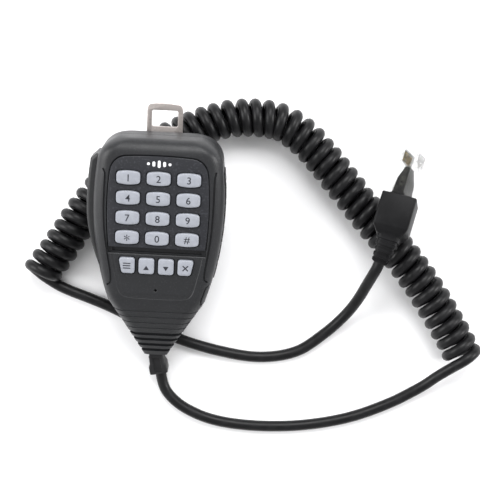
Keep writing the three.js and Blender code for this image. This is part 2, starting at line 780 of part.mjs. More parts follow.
// The origin is under the middle of the microphone, on the table.
microphone.updateMatrixWorld(true);
const extent = new THREE.Box3().setFromObject(microphone, true);
const middle = extent.getCenter(new THREE.Vector3());
microphone.position.set(-middle.x, -middle.y, -extent.min.z);
microphone.updateMatrixWorld(true);

// ---------------------------------------------------------------- boot and modular plug

// The plug group's axis y runs from the boot's tail to the plug's tip. The boot is rolled a
// little about it, and the plug, which has slid out of the boot, is rolled further.
const plugAssembly = new THREE.Group();
plugAssembly.position.set(...bootFoot);
plugAssembly.rotation.set(-plugDip, 0, -plugHeading, 'ZXY');
const boot = new THREE.Group();
boot.rotation.y = -bootRoll;
const plug = new THREE.Group();
plug.rotation.y = plugRoll;
plugAssembly.add(boot, plug);

/** An eight-cornered ring across y. */
function cornered(y, halfX, halfZ, corner, midX = 0, midZ = 0) {
  const right = [
    [halfX - corner, -halfZ], [halfX, -halfZ + corner], [halfX, halfZ - corner], [halfX - corner, halfZ],
  ];
  const left = right.map(([x, z]) => [-x, z]).reverse();
  return [...right, ...left].map(([x, z]) => new THREE.Vector3(midX + x, y, midZ + z));
}

/** One ring of the tail, which bends away as it runs back from the boot; share is 1 at its end. */
function tailRing(share) {
  const half = THREE.MathUtils.lerp(tailRoot, tailHalf, share);
  const x = -tailSwing * share ** 2;
  const z = -tailDrop * share ** 2;
  const lean = (2 * share) / tailLength;
  const ring = cornered(-0.4 - (tailLength - 0.4) * share, half, half, half * 0.45, x, z);
  ring.forEach((point) => {
    point.y -= lean * (tailSwing * (point.x - x) + tailDrop * (point.z - z));
  });
  return ring;
}

function plugBoot() {
  const rings = [
    cornered(bootLength, bootHalfWidth, bootHalfHeight, 1),
    cornered(3.5, bootHalfWidth, bootHalfHeight, 1),
    cornered(0, bootHalfWidth - 2, bootHalfHeight - 1.6, 1.4),
  ];
  const tailSteps = 4;
  for (let step = 0; step <= tailSteps; step += 1) {
    rings.push(tailRing(step / tailSteps));
  }
  const low = [-bootHalfWidth + bootWall, bootLength - bootMouthDepth, -bootHalfHeight + bootWall];
  const high = [bootHalfWidth - bootWall, bootLength + 1, bootHalfHeight - bootWall];
  return cut(loft(rings), block(low, high));
}

/** The wedge's half sizes with room round them. */
function wider(half) {
  return half.map((size) => size + gap);
}

/** The cord's crimped end: a collar that stands in the boot's mouth and a wedge in the plug. */
function crimpWedge() {
  const floor = bootLength - bootMouthDepth + gap;
  const collarEnd = plugStartY - gap;
  const rings = [
    cornered(plugStartY + wedgeLength, ...wedgeTip, 0.3),
    cornered(plugStartY + wedgeLength * wedgeWaist, ...wedgeMiddle, 0.4),
    cornered(collarEnd, ...wedgeRoot, 0.4),
    cornered(collarEnd - 0.01, collarHalf, collarHalf * 0.66, 1),
    cornered(floor, collarHalf, collarHalf * 0.66, 1),
  ];
  return loft(rings);
}

function plugShell() {
  const end = plugStartY + plugLength;
  const body = loft([
    cornered(end, plugHalfWidth, plugHalfHeight - 0.4, 0.4),
    cornered(end - 1.2, plugHalfWidth, plugHalfHeight, 0.4),
    cornered(plugStartY, plugHalfWidth, plugHalfHeight, 0.4),
  ]);
  const hollow = loft([
    cornered(plugStartY + wedgeLength + gap, ...wider(wedgeTip), 0.3),
    cornered(plugStartY + wedgeLength * wedgeWaist, ...wider(wedgeMiddle), 0.4),
    cornered(plugStartY - 1, ...wider(wedgeRoot), 0.4),
  ]);
  const slot = block(
    [-contactHalf - gap, end - contactLength - 1 - gap, -plugHalfHeight - 1],
    [contactHalf + gap, end - 1 + gap, -plugHalfHeight + contactDepth + gap],
  );
  return cut(body, hollow, slot);
}

/** Eight blades on one carrier strip, facing away from the latch. */
function plugContacts() {
  const end = plugStartY + plugLength - 1;
  const carrierLow = -plugHalfHeight + contactDepth - 0.35;
  const low = [-contactHalf, end - contactLength, carrierLow];
  const strip = block(low, [contactHalf, end, -plugHalfHeight + contactDepth]);
  const blades = [];
  for (let blade = 0; blade < 8; blade += 1) {
    const x = (blade - 3.5) * contactPitch;
    const bladeLow = [x - bladeHalf, end - contactLength + 0.4, -plugHalfHeight + 0.25];
    blades.push(block(bladeLow, [x + bladeHalf, end - 0.4, carrierLow + 0.1]));
  }
  return join(strip, ...blades);
}

/** The latch springs from the plug's tip and rises towards the boot. */
function plugLatch() {
  const rootY = plugStartY + plugLength - 2.2;
  const low = plugHalfHeight + gap;
  const rings = [
    cornered(rootY + 1.2, latchHalf, latchThick, 0.15, 0, low + latchThick),
    cornered(rootY - 1.5, latchHalf, latchThick, 0.15, 0, low + 0.7),
    cornered(rootY - 6.5, latchHalf, latchThick, 0.15, 0, low + 2.1),
    cornered(rootY - latchLength, latchTailHalf, latchThick, 0.15, 0, low + 3.9),
  ];
  return loft(rings);
}

place(boot, 'plug_boot', plugBoot(), blackRubber);
place(plug, 'crimp_wedge', crimpWedge(), blackRubber);
place(plug, 'plug_shell', plugShell(), clearPlastic);
place(plug, 'plug_contacts', plugContacts(), gold);
place(plug, 'plug_latch', plugLatch(), clearPlastic);

// ---------------------------------------------------------------- cord

/** A cord of round section through its route's points. */
function cordTube(route, radius, sides, steps) {
  const corners = [];
  for (let corner = 0; corner < sides; corner += 1) {
    const angle = (corner / sides) * Math.PI * 2;
    corners.push(new THREE.Vector2(radius * Math.cos(angle), radius * Math.sin(angle)));
  }
  const path = new THREE.CatmullRomCurve3(route, false, 'centripetal');
  return new THREE.ExtrudeGeometry(new THREE.Shape(corners), { steps, bevelEnabled: false, extrudePath: path });
}

function asPoints(list) {
  return list.map((point) => new THREE.Vector3(...point));
}

/** Two points that carry the cord straight out of the face it leaves. */
function leaving(face, way, group, reach) {
  group.updateWorldMatrix(true, false);
  const start = face.clone().applyMatrix4(group.matrixWorld);
  const direction = way.clone().transformDirection(group.matrixWorld);
  return [gap, reach].map((distance) => start.clone().addScaledVector(direction, distance));
}

const micLead = [...leaving(sleeveEnd, sleeveWay, microphone, 5), ...asPoints(micLeadRoute)];
const tailEnd = new THREE.Vector3(-tailSwing, -tailLength, -tailDrop);
const tailWay = new THREE.Vector3(-2 * tailSwing / tailLength, -1, -2 * tailDrop / tailLength);
const plugLead = [...asPoints(plugLeadRoute), ...leaving(tailEnd, tailWay, boot, 3.5).reverse()];

const handMicrophone = new THREE.Group();
handMicrophone.add(microphone, plugAssembly);
place(handMicrophone, 'mic_lead', cordTube(micLead, cordRadius, 8, 22), cordRubber);
place(handMicrophone, 'cord_coil', cordTube(asPoints(coilRoute), coilRadius, 12, 30), cordRubber);
place(handMicrophone, 'plug_lead', cordTube(plugLead, cordRadius, 8, 26), cordRubber);

export default handMicrophone;
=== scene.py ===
"""A keypad hand microphone on its curly cord, dressed for rendering.

Pieces are drawn in millimetres, in the microphone's or the plug's own frame, and are then
put in the row frame in metres.
"""

import logging
import math
from contextlib import contextmanager
from dataclasses import dataclass, field
from enum import Enum
from typing import Any, Callable, Iterator, Sequence

import bmesh
import bpy
from mathutils import Matrix, Vector


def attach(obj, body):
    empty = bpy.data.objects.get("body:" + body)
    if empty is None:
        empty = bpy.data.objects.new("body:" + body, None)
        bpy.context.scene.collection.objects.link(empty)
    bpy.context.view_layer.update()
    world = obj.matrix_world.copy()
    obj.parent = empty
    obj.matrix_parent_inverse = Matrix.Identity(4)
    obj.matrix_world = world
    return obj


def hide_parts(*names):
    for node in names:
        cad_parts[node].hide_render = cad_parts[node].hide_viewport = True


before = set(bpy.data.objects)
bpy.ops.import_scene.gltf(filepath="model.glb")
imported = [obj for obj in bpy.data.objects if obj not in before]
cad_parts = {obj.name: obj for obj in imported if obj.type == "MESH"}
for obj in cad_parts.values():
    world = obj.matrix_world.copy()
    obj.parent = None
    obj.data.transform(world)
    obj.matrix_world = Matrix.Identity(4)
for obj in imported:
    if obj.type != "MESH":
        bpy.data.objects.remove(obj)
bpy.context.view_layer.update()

log = logging.getLogger("hand_microphone")

Point2 = tuple[float, float]
Point3 = tuple[float, float, float]

GAP = 0.3  # between pieces that touch, in millimetres
SLEEVE_LEAN = 12.0  # the strain relief's lean in degrees, and its place and mouth
SLEEVE_DROP = -53.6
SLEEVE_MOUTH = (0.4, -8.6, -3.7)
MILLI = 0.001
HOUSING = "housing"
TILT = math.radians(16)
MIC_AT = (1.401, -1.165, 25.021)  # the case's own origin
MIC_PLACE = Matrix.Translation([value * MILLI for value in MIC_AT]) @ Matrix.Rotation(TILT, 4, "X")
PLUG_PLACE = (
    Matrix.Translation((0.1036, 0.0074, 0.0282))
    @ Matrix.Rotation(math.radians(-15.5), 4, "Z")
    @ Matrix.Rotation(math.radians(-12), 4, "X")
)
BOOT_PLACE = PLUG_PLACE @ Matrix.Rotation(math.radians(-15), 4, "Y")
SHELL_PLACE = PLUG_PLACE @ Matrix.Rotation(math.radians(57), 4, "Y")


# ---- shader expressions


MIX_FACTOR, MIX_FIRST, MIX_SECOND, MIX_RESULT = 0, 6, 7, 2  # a Mix node's sockets for colours


class Expr:
    """A value socket that takes part in Python arithmetic."""

    def __init__(self, sheet: "NodeSheet", socket: bpy.types.NodeSocket) -> None:
        """Wraps one output socket of a sheet's node."""
        self.sheet = sheet
        self.socket = socket

    def _maths(self, operation: str, first: Any, second: Any) -> "Expr":
        """The result of one new Math node on two values or links."""
        return self.sheet.node("ShaderNodeMath", {"operation": operation}, {0: first, 1: second})

    def __add__(self, other: Any) -> "Expr":
        """Sum."""
        return self._maths("ADD", self, other)

    def __radd__(self, other: Any) -> "Expr":
        """Sum, reflected."""
        return self._maths("ADD", other, self)

    def __sub__(self, other: Any) -> "Expr":
        """Difference."""
        return self._maths("SUBTRACT", self, other)

    def __rsub__(self, other: Any) -> "Expr":
        """Difference, reflected."""
        return self._maths("SUBTRACT", other, self)

    def __mul__(self, other: Any) -> "Expr":
        """Product."""
        return self._maths("MULTIPLY", self, other)

    def __rmul__(self, other: Any) -> "Expr":
        """Product, reflected."""
        return self._maths("MULTIPLY", other, self)

    def ramp(self, low: float, high: float) -> "Expr":
        """Nought at low, one at high and smooth between."""
        limits = {"Value": self, "From Min": low, "From Max": high}
        return self.sheet.node("ShaderNodeMapRange", {"interpolation_type": "SMOOTHSTEP"}, limits)

    def blend(self, first: Any, second: Any) -> "Expr":
        """A colour between two: the first at nought, the second at one."""
        inputs = {MIX_FACTOR: self, MIX_FIRST: first, MIX_SECOND: second}
        return self.sheet.node("ShaderNodeMix", {"data_type": "RGBA"}, inputs, MIX_RESULT)


class NodeSheet:
    """A new material's node tree, with one method that adds nodes."""

    def __init__(self, name: str) -> None:
        """Starts a material that holds only its output.

        Args:
            name: The material's name.
        """
        self.material = bpy.data.materials.new(name)
        self.material.use_nodes = True
        self.tree = self.material.node_tree
        self.tree.nodes.clear()

    def node(self, kind: str, settings: dict[str, Any], inputs: dict[Any, Any],
             output: str | int = 0) -> Expr:
        """Adds a node, sets it up and links it.

        Args:
            kind: The node's type.
            settings: Properties of the node.
            inputs: Values or links by socket name or number.
            output: The socket to hand back, by name or number.

        Returns:
            The chosen output.
        """
        made = self.tree.nodes.new(kind)
        for key, value in settings.items():
            setattr(made, key, value)
        for key, value in inputs.items():
            socket = made.inputs[key]
            if isinstance(value, Expr):
                self.tree.links.new(value.socket, socket)
            elif socket.type == "RGBA":
                socket.default_value = (*value, 1)
            else:
                socket.default_value = value
        return Expr(self, made.outputs[output] if len(made.outputs) else None)

    def place(self) -> Expr:
        """The surface's place in the object, in metres."""
        return self.node("ShaderNodeTexCoord", {}, {}, "Object")

    def noise(self, size: float, detail: float = 2.0, rough: float = 0.5,
              where: Expr | None = None) -> Expr:
        """Noise of one size of grain.

        Args:
            size: Grain in millimetres.
            detail: Octaves.
            rough: Weight of the finer octaves.
            where: Coordinates, or none for the object's own.

        Returns:
            The noise value.
        """
        scale = 1 / (size * MILLI)
        return self.node("ShaderNodeTexNoise", {}, {"Vector": where or self.place(), "Scale": scale,
                                                    "Detail": detail, "Roughness": rough})

    def stretched(self, factors: Point3) -> Expr:
        """The object's coordinates, scaled along each axis."""
        return self.node("ShaderNodeMapping", {}, {"Vector": self.place(), "Scale": factors})

    def bump(self, height: Expr, depth: float) -> Expr:
        """A normal bent by a height, whose full depth is in millimetres."""
        return self.node("ShaderNodeBump", {}, {"Height": height, "Distance": depth * MILLI})

    def finish(self, **sockets: Any) -> bpy.types.Material:
        """Adds the shader and the output.

        Args:
            sockets: The shader's sockets, with underscores for the spaces in their names.

        Returns:
            The finished material.
        """
        named = {key.replace("_", " "): value for key, value in sockets.items()}
        shader = self.node("ShaderNodeBsdfPrincipled", {}, named, "BSDF")
        self.node("ShaderNodeOutputMaterial", {}, {"Surface": shader})
        return self.material


# ---- finishes


def tinted(colour: Point3, factor: float, lift: float = 0.0) -> Point3:
    """A colour made lighter or darker."""
    return tuple(min(1.0, channel * factor + lift) for channel in colour)


@dataclass(frozen=True)
class GrainedPlastic:
    """Moulded plastic with a fine spark-eroded grain."""

    name: str
    colour: Point3 = (0.0125, 0.0130, 0.0145)
    roughness: float = 0.46
    grain: float = 0.34
    depth: float = 0.03
    speckle: float = 0.35

    def material(self) -> bpy.types.Material:
        """Grain in the normal, dust in the colour and slight rubbed patches.

        Returns:
            The material.
        """
        sheet = NodeSheet(self.name)
        grain = sheet.noise(self.grain, 1.5, 0.6)
        patches = sheet.noise(9.0, 3.0).ramp(0.38, 0.68)
        dust = sheet.noise(self.grain * 1.7, 0.0).ramp(0.60, 0.74) * self.speckle
        light = tinted(self.colour, 2.1, 0.006)
        warm = tinted(self.colour, 1.18)
        colour = dust.blend(patches.blend(self.colour, warm), light)
        rough = self.roughness + 0.10 * (grain - 0.5) - 0.05 * patches
        return sheet.finish(Base_Color=colour, Roughness=rough, Normal=sheet.bump(grain, self.depth),
                            Specular_IOR_Level=0.34)


@dataclass(frozen=True)
class SoftRubber:
    """Matt black rubber with a faint skin of marks."""

    name: str
    colour: Point3 = (0.010, 0.010, 0.011)
    roughness: float = 0.5
    grain: float = 0.5
    depth: float = 0.02
    bloom: float = 0.25
    shine: float = 0.24

    def material(self) -> bpy.types.Material:
        """Soft bloom patches over a fine skin.

        Returns:
            The material.
        """
        sheet = NodeSheet(self.name)
        skin = sheet.noise(self.grain, 2.0)
        bloom = sheet.noise(6.0, 4.0, 0.6).ramp(0.42, 0.72) * self.bloom
        light = tinted(self.colour, 1.9, 0.004)
        rough = self.roughness + 0.12 * bloom + 0.06 * (skin - 0.5)
        return sheet.finish(Base_Color=bloom.blend(self.colour, light), Roughness=rough,
                            Normal=sheet.bump(skin, self.depth), Specular_IOR_Level=self.shine)


@dataclass(frozen=True)
class CordJacket:
    """The cord's smooth jacket, with a soft sheen."""

    name: str
    colour: Point3 = (0.0045, 0.0045, 0.005)
    roughness: float = 0.36

    def material(self) -> bpy.types.Material:
        """Sheen with small smudges and a hint of extrusion ripple.

        Returns:
            The material.
        """
        sheet = NodeSheet(self.name)
        smudge = sheet.noise(3.5, 3.0).ramp(0.40, 0.70)
        ripple = sheet.noise(0.8, 1.0)
        rough = self.roughness + 0.12 * smudge
        light = tinted(self.colour, 1.7)
        return sheet.finish(Base_Color=smudge.blend(self.colour, light), Roughness=rough,
                            Normal=sheet.bump(ripple, 0.03), Specular_IOR_Level=0.21)


@dataclass(frozen=True)
class KeySilicone:
    """Translucent silicone keys with a satin top."""

    name: str
    colour: Point3 = (0.26, 0.272, 0.305)
    roughness: float = 0.42

    def material(self) -> bpy.types.Material:
        """Even body colour that clouds a little, with satin gloss.

        Returns:
            The material.
        """
        sheet = NodeSheet(self.name)
        cloud = sheet.noise(2.2, 2.0).ramp(0.3, 0.75)
        skin = sheet.noise(0.25, 1.0)
        light = tinted(self.colour, 1.12)
        rough = self.roughness + 0.08 * skin
        return sheet.finish(Base_Color=cloud.blend(self.colour, light), Roughness=rough,
                            Normal=sheet.bump(skin, 0.01), Subsurface_Weight=0.12,
                            Subsurface_Radius=(0.0015, 0.0015, 0.002))


@dataclass(frozen=True)
class WornSteel:
    """Drawn or pressed steel with fine rubbing marks."""

    name: str
    colour: Point3 = (0.52, 0.475, 0.455)
    roughness: float = 0.34
    lines: Point3 = (1.0, 12.0, 1.0)

    def material(self) -> bpy.types.Material:
        """Fine lines across the piece, with duller patches.

        Returns:
            The material.
        """
        sheet = NodeSheet(self.name)
        drawn = sheet.noise(0.9, 3.0, 0.6, sheet.stretched(self.lines))
        dull = sheet.noise(2.6, 4.0, 0.65).ramp(0.42, 0.66)
        dark = tinted(self.colour, 0.78)
        rough = self.roughness + 0.16 * dull + 0.10 * (drawn - 0.5)
        return sheet.finish(Base_Color=dull.blend(self.colour, dark), Roughness=rough, Metallic=0.92,
                            Normal=sheet.bump(drawn, 0.02))


@dataclass(frozen=True)
class ClearMoulding:
    """Clear moulded plastic, frosted towards its nose by its mould marks."""

    name: str
    axis: Point3
    clear_until: float = 32.0
    frosted_from: float = 35.0
    colour: Point3 = (0.030, 0.031, 0.030)
    frost_colour: Point3 = (0.14, 0.14, 0.12)

    def material(self) -> bpy.types.Material:
        """Clear body whose gloss is broken by flow marks, and cloudier past the wedge.

        Returns:
            The material.
        """
        sheet = NodeSheet(self.name)
        flow = sheet.noise(1.6, 2.0, 0.5)
        frost = sheet.noise(2.2, 3.0).ramp(0.42, 0.66)
        start = SHELL_PLACE.translation.dot(Vector(self.axis))
        along = sheet.node("ShaderNodeVectorMath", {"operation": "DOT_PRODUCT"},
                           {0: sheet.place(), 1: self.axis}, "Value")
        nose = (along - start).ramp(self.clear_until * MILLI, self.frosted_from * MILLI)
        alpha = 0.07 + 0.07 * frost + nose * (0.12 + 0.12 * frost)
        return sheet.finish(Base_Color=frost.blend(self.colour, self.frost_colour), Alpha=alpha, IOR=1.55,
                            Roughness=0.06 + 0.16 * frost, Normal=sheet.bump(flow, 0.06),
                            Specular_IOR_Level=0.4)


@dataclass(frozen=True)
class PlainMoulding:
    """Small moulded, printed or plated parts, with a touch of mottling."""

    name: str
    colour: Point3
    roughness: float = 0.5
    metallic: float = 0.0
    mottle: float = 0.15
    grain: float = 0.4

    def material(self) -> bpy.types.Material:
        """Mottled colour and gloss over a fine grain.

        Returns:
            The material.
        """
        sheet = NodeSheet(self.name)
        mottle = sheet.noise(1.8, 3.0).ramp(0.35, 0.70)
        grain = sheet.noise(self.grain, 1.0)
        other = tinted(self.colour, 1 - self.mottle)
        rough = self.roughness + 0.10 * grain
        return sheet.finish(Base_Color=mottle.blend(self.colour, other), Roughness=rough,
                            Metallic=self.metallic, Normal=sheet.bump(grain, 0.012))


Finish = (GrainedPlastic | SoftRubber | CordJacket | KeySilicone | WornSteel | ClearMoulding
          | PlainMoulding)


class Cupboard:
    """Keeps one material for each finish."""

    def __init__(self) -> None:
        """Starts empty."""
        self.made: dict[str, bpy.types.Material] = {}

    def take(self, finish: Finish) -> bpy.types.Material:
        """The finish's material, made at its first use.

        Args:
            finish: The finish.

        Returns:
            Its material.
        """
        if finish.name not in self.made:
            self.made[finish.name] = finish.material()
        return self.made[finish.name]


CUPBOARD = Cupboard()
CASE_PLASTIC = GrainedPlastic("case_grain")
PANEL_PLASTIC = GrainedPlastic("panel_stipple", (0.0135, 0.0142, 0.0175), 0.50, 0.5, 0.05, 0.6)
BAR_PLASTIC = GrainedPlastic("talk_bar_grain", (0.014, 0.0145, 0.0155), 0.44)
GRIP_RUBBER = SoftRubber("grip_rubber")
SLEEVE_RUBBER = SoftRubber("sleeve_rubber", (0.011, 0.011, 0.012), 0.42)
BOOT_RUBBER = SoftRubber("boot_rubber", (0.005, 0.005, 0.0056), 0.42, 0.4, 0.03, 0.25, 0.12)
INSERT_PLASTIC = SoftRubber("insert_plastic", (0.004, 0.004, 0.0045), 0.3, 0.5, 0.01)
JACKET = CordJacket("cord_jacket")
KEY_SILICONE = KeySilicone("key_silicone")
LEGEND_INK = PlainMoulding("legend_ink", (0.012, 0.013, 0.020), 0.5)
BADGE_PAINT = PlainMoulding("badge_paint", (0.80, 0.80, 0.82), 0.4)
HANGER_STEEL = WornSteel("hanger_steel")
SCREW_STEEL = WornSteel("screw_steel", (0.16, 0.16, 0.165), 0.38)
PIN_STEEL = WornSteel("pin_steel", (0.55, 0.55, 0.56), 0.25, (1.0, 1.0, 9.0))
CLEAR = ClearMoulding("clear_moulding", tuple(SHELL_PLACE.col[1][:3]))
GOLD = PlainMoulding("contact_gold", (0.52, 0.40, 0.20), 0.30, 1.0)
MAT_SILICONE = PlainMoulding("mat_silicone", (0.22, 0.23, 0.26), 0.5)
BOARD_LAMINATE = PlainMoulding("board_laminate", (0.02, 0.11, 0.05), 0.35, 0.0, 0.25, 0.7)
CHIP_RESIN = PlainMoulding("chip_resin", (0.012, 0.012, 0.013), 0.5)
HEADER_NYLON = PlainMoulding("header_nylon", (0.62, 0.60, 0.52), 0.45)
LED_RESIN = PlainMoulding("led_resin", (0.72, 0.70, 0.50), 0.25)
CAPSULE_METAL = WornSteel("capsule_metal", (0.66, 0.66, 0.67), 0.28)
SWITCH_PLASTIC = PlainMoulding("switch_plastic", (0.02, 0.02, 0.022), 0.45)
PLUNGER_PLASTIC = PlainMoulding("plunger_plastic", (0.45, 0.06, 0.05), 0.4)


# ---- the bench


class Meeting(Enum):
    """How one solid meets another."""

    CUT = "DIFFERENCE"
    ADD = "UNION"


def deselect() -> None:
    """Leaves edit mode and deselects every object."""
    if bpy.context.object and bpy.context.object.mode != "OBJECT":
        bpy.ops.object.mode_set(mode="OBJECT")
    bpy.ops.object.select_all(action="DESELECT")


class Workpiece:
    """A mesh on the bench, in millimetres, shaped by the edit-mode operators."""

    def __init__(self, name: str) -> None:
        """Takes the object that a primitive has just added.

        Args:
            name: The piece's name.
        """
        self.obj = bpy.context.object
        self.obj.name = name
        self.obj.data.name = name

    def alone(self) -> None:
        """Leaves this as the one selected object, and the active one."""
        deselect()
        self.obj.select_set(True)
        bpy.context.view_layer.objects.active = self.obj

    @classmethod
    def block(cls, name: str, low: Point3, high: Point3) -> "Workpiece":
        """A box between two corners.

        Args:
            name: The piece's name.
            low: Its lowest corner.
            high: Its highest corner.

        Returns:
            The piece.
        """
        deselect()
        bpy.ops.mesh.primitive_cube_add(size=1, location=[(a + b) / 2 for a, b in zip(low, high)])
        bpy.context.object.scale = [b - a for a, b in zip(low, high)]
        bpy.ops.object.transform_apply(location=True, rotation=True, scale=True)
        return cls(name)

    @classmethod
    def rod(cls, name: str, radius: float, centre: Point2, low: float, high: float,
            sides: int = 32) -> "Workpiece":
        """An upright cylinder.

        Args:
            name: The piece's name.
            radius: Its radius.
            centre: Its axis in x and y.
            low: Its foot.
            high: Its top.
            sides: Its facets.

        Returns:
            The piece.
        """
        deselect()
        middle = (centre[0], centre[1], (low + high) / 2)
        bpy.ops.mesh.primitive_cylinder_add(vertices=sides, radius=radius, depth=high - low, location=middle)
        bpy.ops.object.transform_apply(location=True, rotation=True, scale=True)
        return cls(name)

    @classmethod
    def slab(cls, name: str, outline: Sequence[Point2], low: float, high: float) -> "Workpiece":
        """A flat outline, extruded upwards.

        Args:
            name: The piece's name.
            outline: Its corners in x and y, anticlockwise.
            low: Its underside.
            high: Its top.

        Returns:
            The piece.
        """
        deselect()
        bpy.ops.mesh.primitive_circle_add(vertices=len(outline), radius=1, fill_type="NGON")
        piece = cls(name)
        for vertex, (x, y) in zip(piece.obj.data.vertices, outline):
            vertex.co = (x, y, low)
        with piece.editing():
            bpy.ops.mesh.select_all(action="SELECT")
            bpy.ops.mesh.extrude_region_move(TRANSFORM_OT_translate={"value": (0, 0, high - low)})
            bpy.ops.mesh.select_all(action="SELECT")
            bpy.ops.mesh.normals_make_consistent(inside=False)
        return piece

    @classmethod
    def skin(cls, name: str, rings: Sequence[Sequence[Point3]]) -> "Workpiece":
        """A closed skin through rings of equal count: a grid rolled up, welded and capped.

        Args:
            name: The piece's name.
            rings: The rings, each one's points in the same order.

        Returns:
            The piece.
        """
        deselect()
        across, along = len(rings[0]), len(rings)
        bpy.ops.mesh.primitive_grid_add(x_subdivisions=across, y_subdivisions=along - 1, size=1)
        piece = cls(name)
        vertices = piece.obj.data.vertices
        order = sorted(range(len(vertices)), key=lambda at: (round(vertices[at].co.y, 5), vertices[at].co.x))
        for place, at in enumerate(order):
            line, column = divmod(place, across + 1)
            vertices[at].co = rings[line][column % across]
        with piece.editing():
            bpy.ops.mesh.select_all(action="SELECT")
            bpy.ops.mesh.remove_doubles(threshold=0.0005)
            bpy.ops.mesh.select_all(action="DESELECT")
            bpy.ops.mesh.select_mode(type="EDGE")
            bpy.ops.mesh.select_non_manifold()
            bpy.ops.mesh.edge_face_add()
            bpy.ops.mesh.fill_holes(sides=0)
            bpy.ops.mesh.select_all(action="SELECT")
            bpy.ops.mesh.normals_make_consistent(inside=False)
        return piece

    @contextmanager
    def editing(self, mode: str = "FACE") -> Iterator[None]:
        """Edit mode on this piece alone, with nothing selected.

        Args:
            mode: The select mode.

        Yields:
            Nothing.
        """
        self.alone()
        bpy.ops.object.mode_set(mode="EDIT")
        bpy.ops.mesh.select_mode(type=mode)
        bpy.ops.mesh.select_all(action="DESELECT")
        yield
        bpy.ops.object.mode_set(mode="OBJECT")
        self.obj.select_set(False)

    def pick(self, test: Callable[[Vector, Vector], bool], edges: bool = False) -> None:
        """Selects the faces, or the edges, that pass a test, in edit mode.

        Args:
            test: Takes a face's middle and normal, or an edge's two ends.
            edges: Edges, or else faces.
        """
        mesh = bmesh.from_edit_mesh(self.obj.data)
        bpy.ops.mesh.select_all(action="DESELECT")
        for item in mesh.edges if edges else mesh.faces:
            facts = [end.co for end in item.verts] if edges else (item.calc_center_median(), item.normal)
            if test(*facts):
                item.select_set(True)
        bmesh.update_edit_mesh(self.obj.data)

    def modify(self, kind: str, **settings: Any) -> "Workpiece":
        """Adds a modifier and applies it.

        Args:
            kind: The modifier's type.
            settings: Its properties.

        Returns:
            This piece.
        """
        self.alone()
        modifier = self.obj.modifiers.new(kind.lower(), kind)
        for key, value in settings.items():
            setattr(modifier, key, value)
        bpy.ops.object.modifier_apply(modifier=modifier.name)
        return self

    def soften(self, width: float, segments: int = 2, angle: float = 40.0) -> "Workpiece":
        """Rounds every edge sharper than an angle in degrees, by so many steps."""
        return self.modify("BEVEL", width=width, segments=segments, limit_method="ANGLE",
                           angle_limit=math.radians(angle), use_clamp_overlap=True)

    def meet(self, how: Meeting, *others: "Workpiece") -> "Workpiece":
        """Cuts or joins with other pieces, which are used up.

        Args:
            how: Cut or add.
            others: The pieces; they don't overlap one another.

        Returns:
            This piece.
        """
        tool = others[0] if len(others) == 1 else Workpiece.gather("tools", others)
        self.modify("BOOLEAN", operation=how.value, solver="EXACT", object=tool.obj)
        bpy.data.objects.remove(tool.obj)
        return self

    @classmethod
    def gather(cls, name: str, pieces: Sequence["Workpiece"]) -> "Workpiece":
        """Joins pieces that don't overlap into one object.

        Args:
            name: The new piece's name.
            pieces: The pieces.

        Returns:
            The joined piece.
        """
        deselect()
        for piece in pieces:
            piece.obj.select_set(True)
        bpy.context.view_layer.objects.active = pieces[0].obj
        if len(pieces) > 1:
            bpy.ops.object.join()
        return cls(name)

    def copy(self, name: str, shift: Point3) -> "Workpiece":
        """A copy with its own mesh, moved aside.

        Args:
            name: The copy's name.
            shift: How far it moves.

        Returns:
            The copy.
        """
        self.alone()
        bpy.ops.object.duplicate(linked=False)
        bpy.ops.transform.translate(value=shift)
        bpy.ops.object.transform_apply(location=True, rotation=True, scale=True)
        return Workpiece(name)

    def turn(self, angle: float, axis: str) -> "Workpiece":
        """Turns it about X, Y or Z by so many degrees, by the right-hand rule."""
        return self.carry(Matrix.Rotation(math.radians(angle), 4, axis))

    def shift(self, x: float, y: float, z: float) -> "Workpiece":
        """Moves it aside."""
        return self.carry(Matrix.Translation((x, y, z)))

    def carry(self, matrix: Matrix) -> "Workpiece":
        """Moves the mesh by a matrix, leaving the object at the origin.

        Args:
            matrix: Where it goes.

        Returns:
            This piece.
        """
        self.alone()
        self.obj.matrix_world = matrix
        bpy.ops.object.transform_apply(location=True, rotation=True, scale=True)
        return self

    def deliver(self, place: Matrix, finish: Finish, body: str, slot: str, *nodes: str,
                angle: float = 34.0) -> bpy.types.Object:
        """Puts the finished piece in the row frame, dressed, on its body.

        Args:
            place: The frame it was drawn in.
            finish: Its finish.
            body: The body that it rides on.
            slot: The record's material slot; not used.
            nodes: The nodes that it stands for.
            angle: Edges sharper than this many degrees stay sharp.

        Returns:
            The piece's object.
        """
        self.carry(place @ Matrix.Scale(MILLI, 4))
        self.obj.select_set(True)
        bpy.context.view_layer.objects.active = self.obj
        bpy.ops.object.shade_smooth_by_angle(angle=math.radians(angle))
        self.obj.data.materials.clear()
        self.obj.data.materials.append(CUPBOARD.take(finish))
        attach(self.obj, body)
        if nodes:
            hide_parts(*nodes)
        log.info("%s: %d faces, on %s", self.obj.name, len(self.obj.data.polygons), body)
        return self.obj


def curve_between(start: Point2, pull: Point2, end: Point2, steps: int) -> list[Point2]:
    """Points on a curve pulled towards one point, without its start.

    Args:
        start: Where it starts.
        pull: The point that it bends towards.
        end: Where it ends.
        steps: How many points.

    Returns:
        The points.
    """
    points = []
    for step in range(1, steps + 1):
        t = step / steps
        points.append(tuple((1 - t) ** 2 * a + 2 * t * (1 - t) * b + t * t * c
                            for a, b, c in zip(start, pull, end)))
    return points


def through_stretches(start: Point2, *stretches: tuple[Point2, Point2, int]) -> list[Point2]:
    """An outline of curves, one after another.

    Args:
        start: Where it starts.
        stretches: Each curve's pull, end and steps.

    Returns:
        The outline.
    """
    points = [start]
    for pull, end, steps in stretches:
        points += curve_between(points[-1], pull, end, steps)
    return points


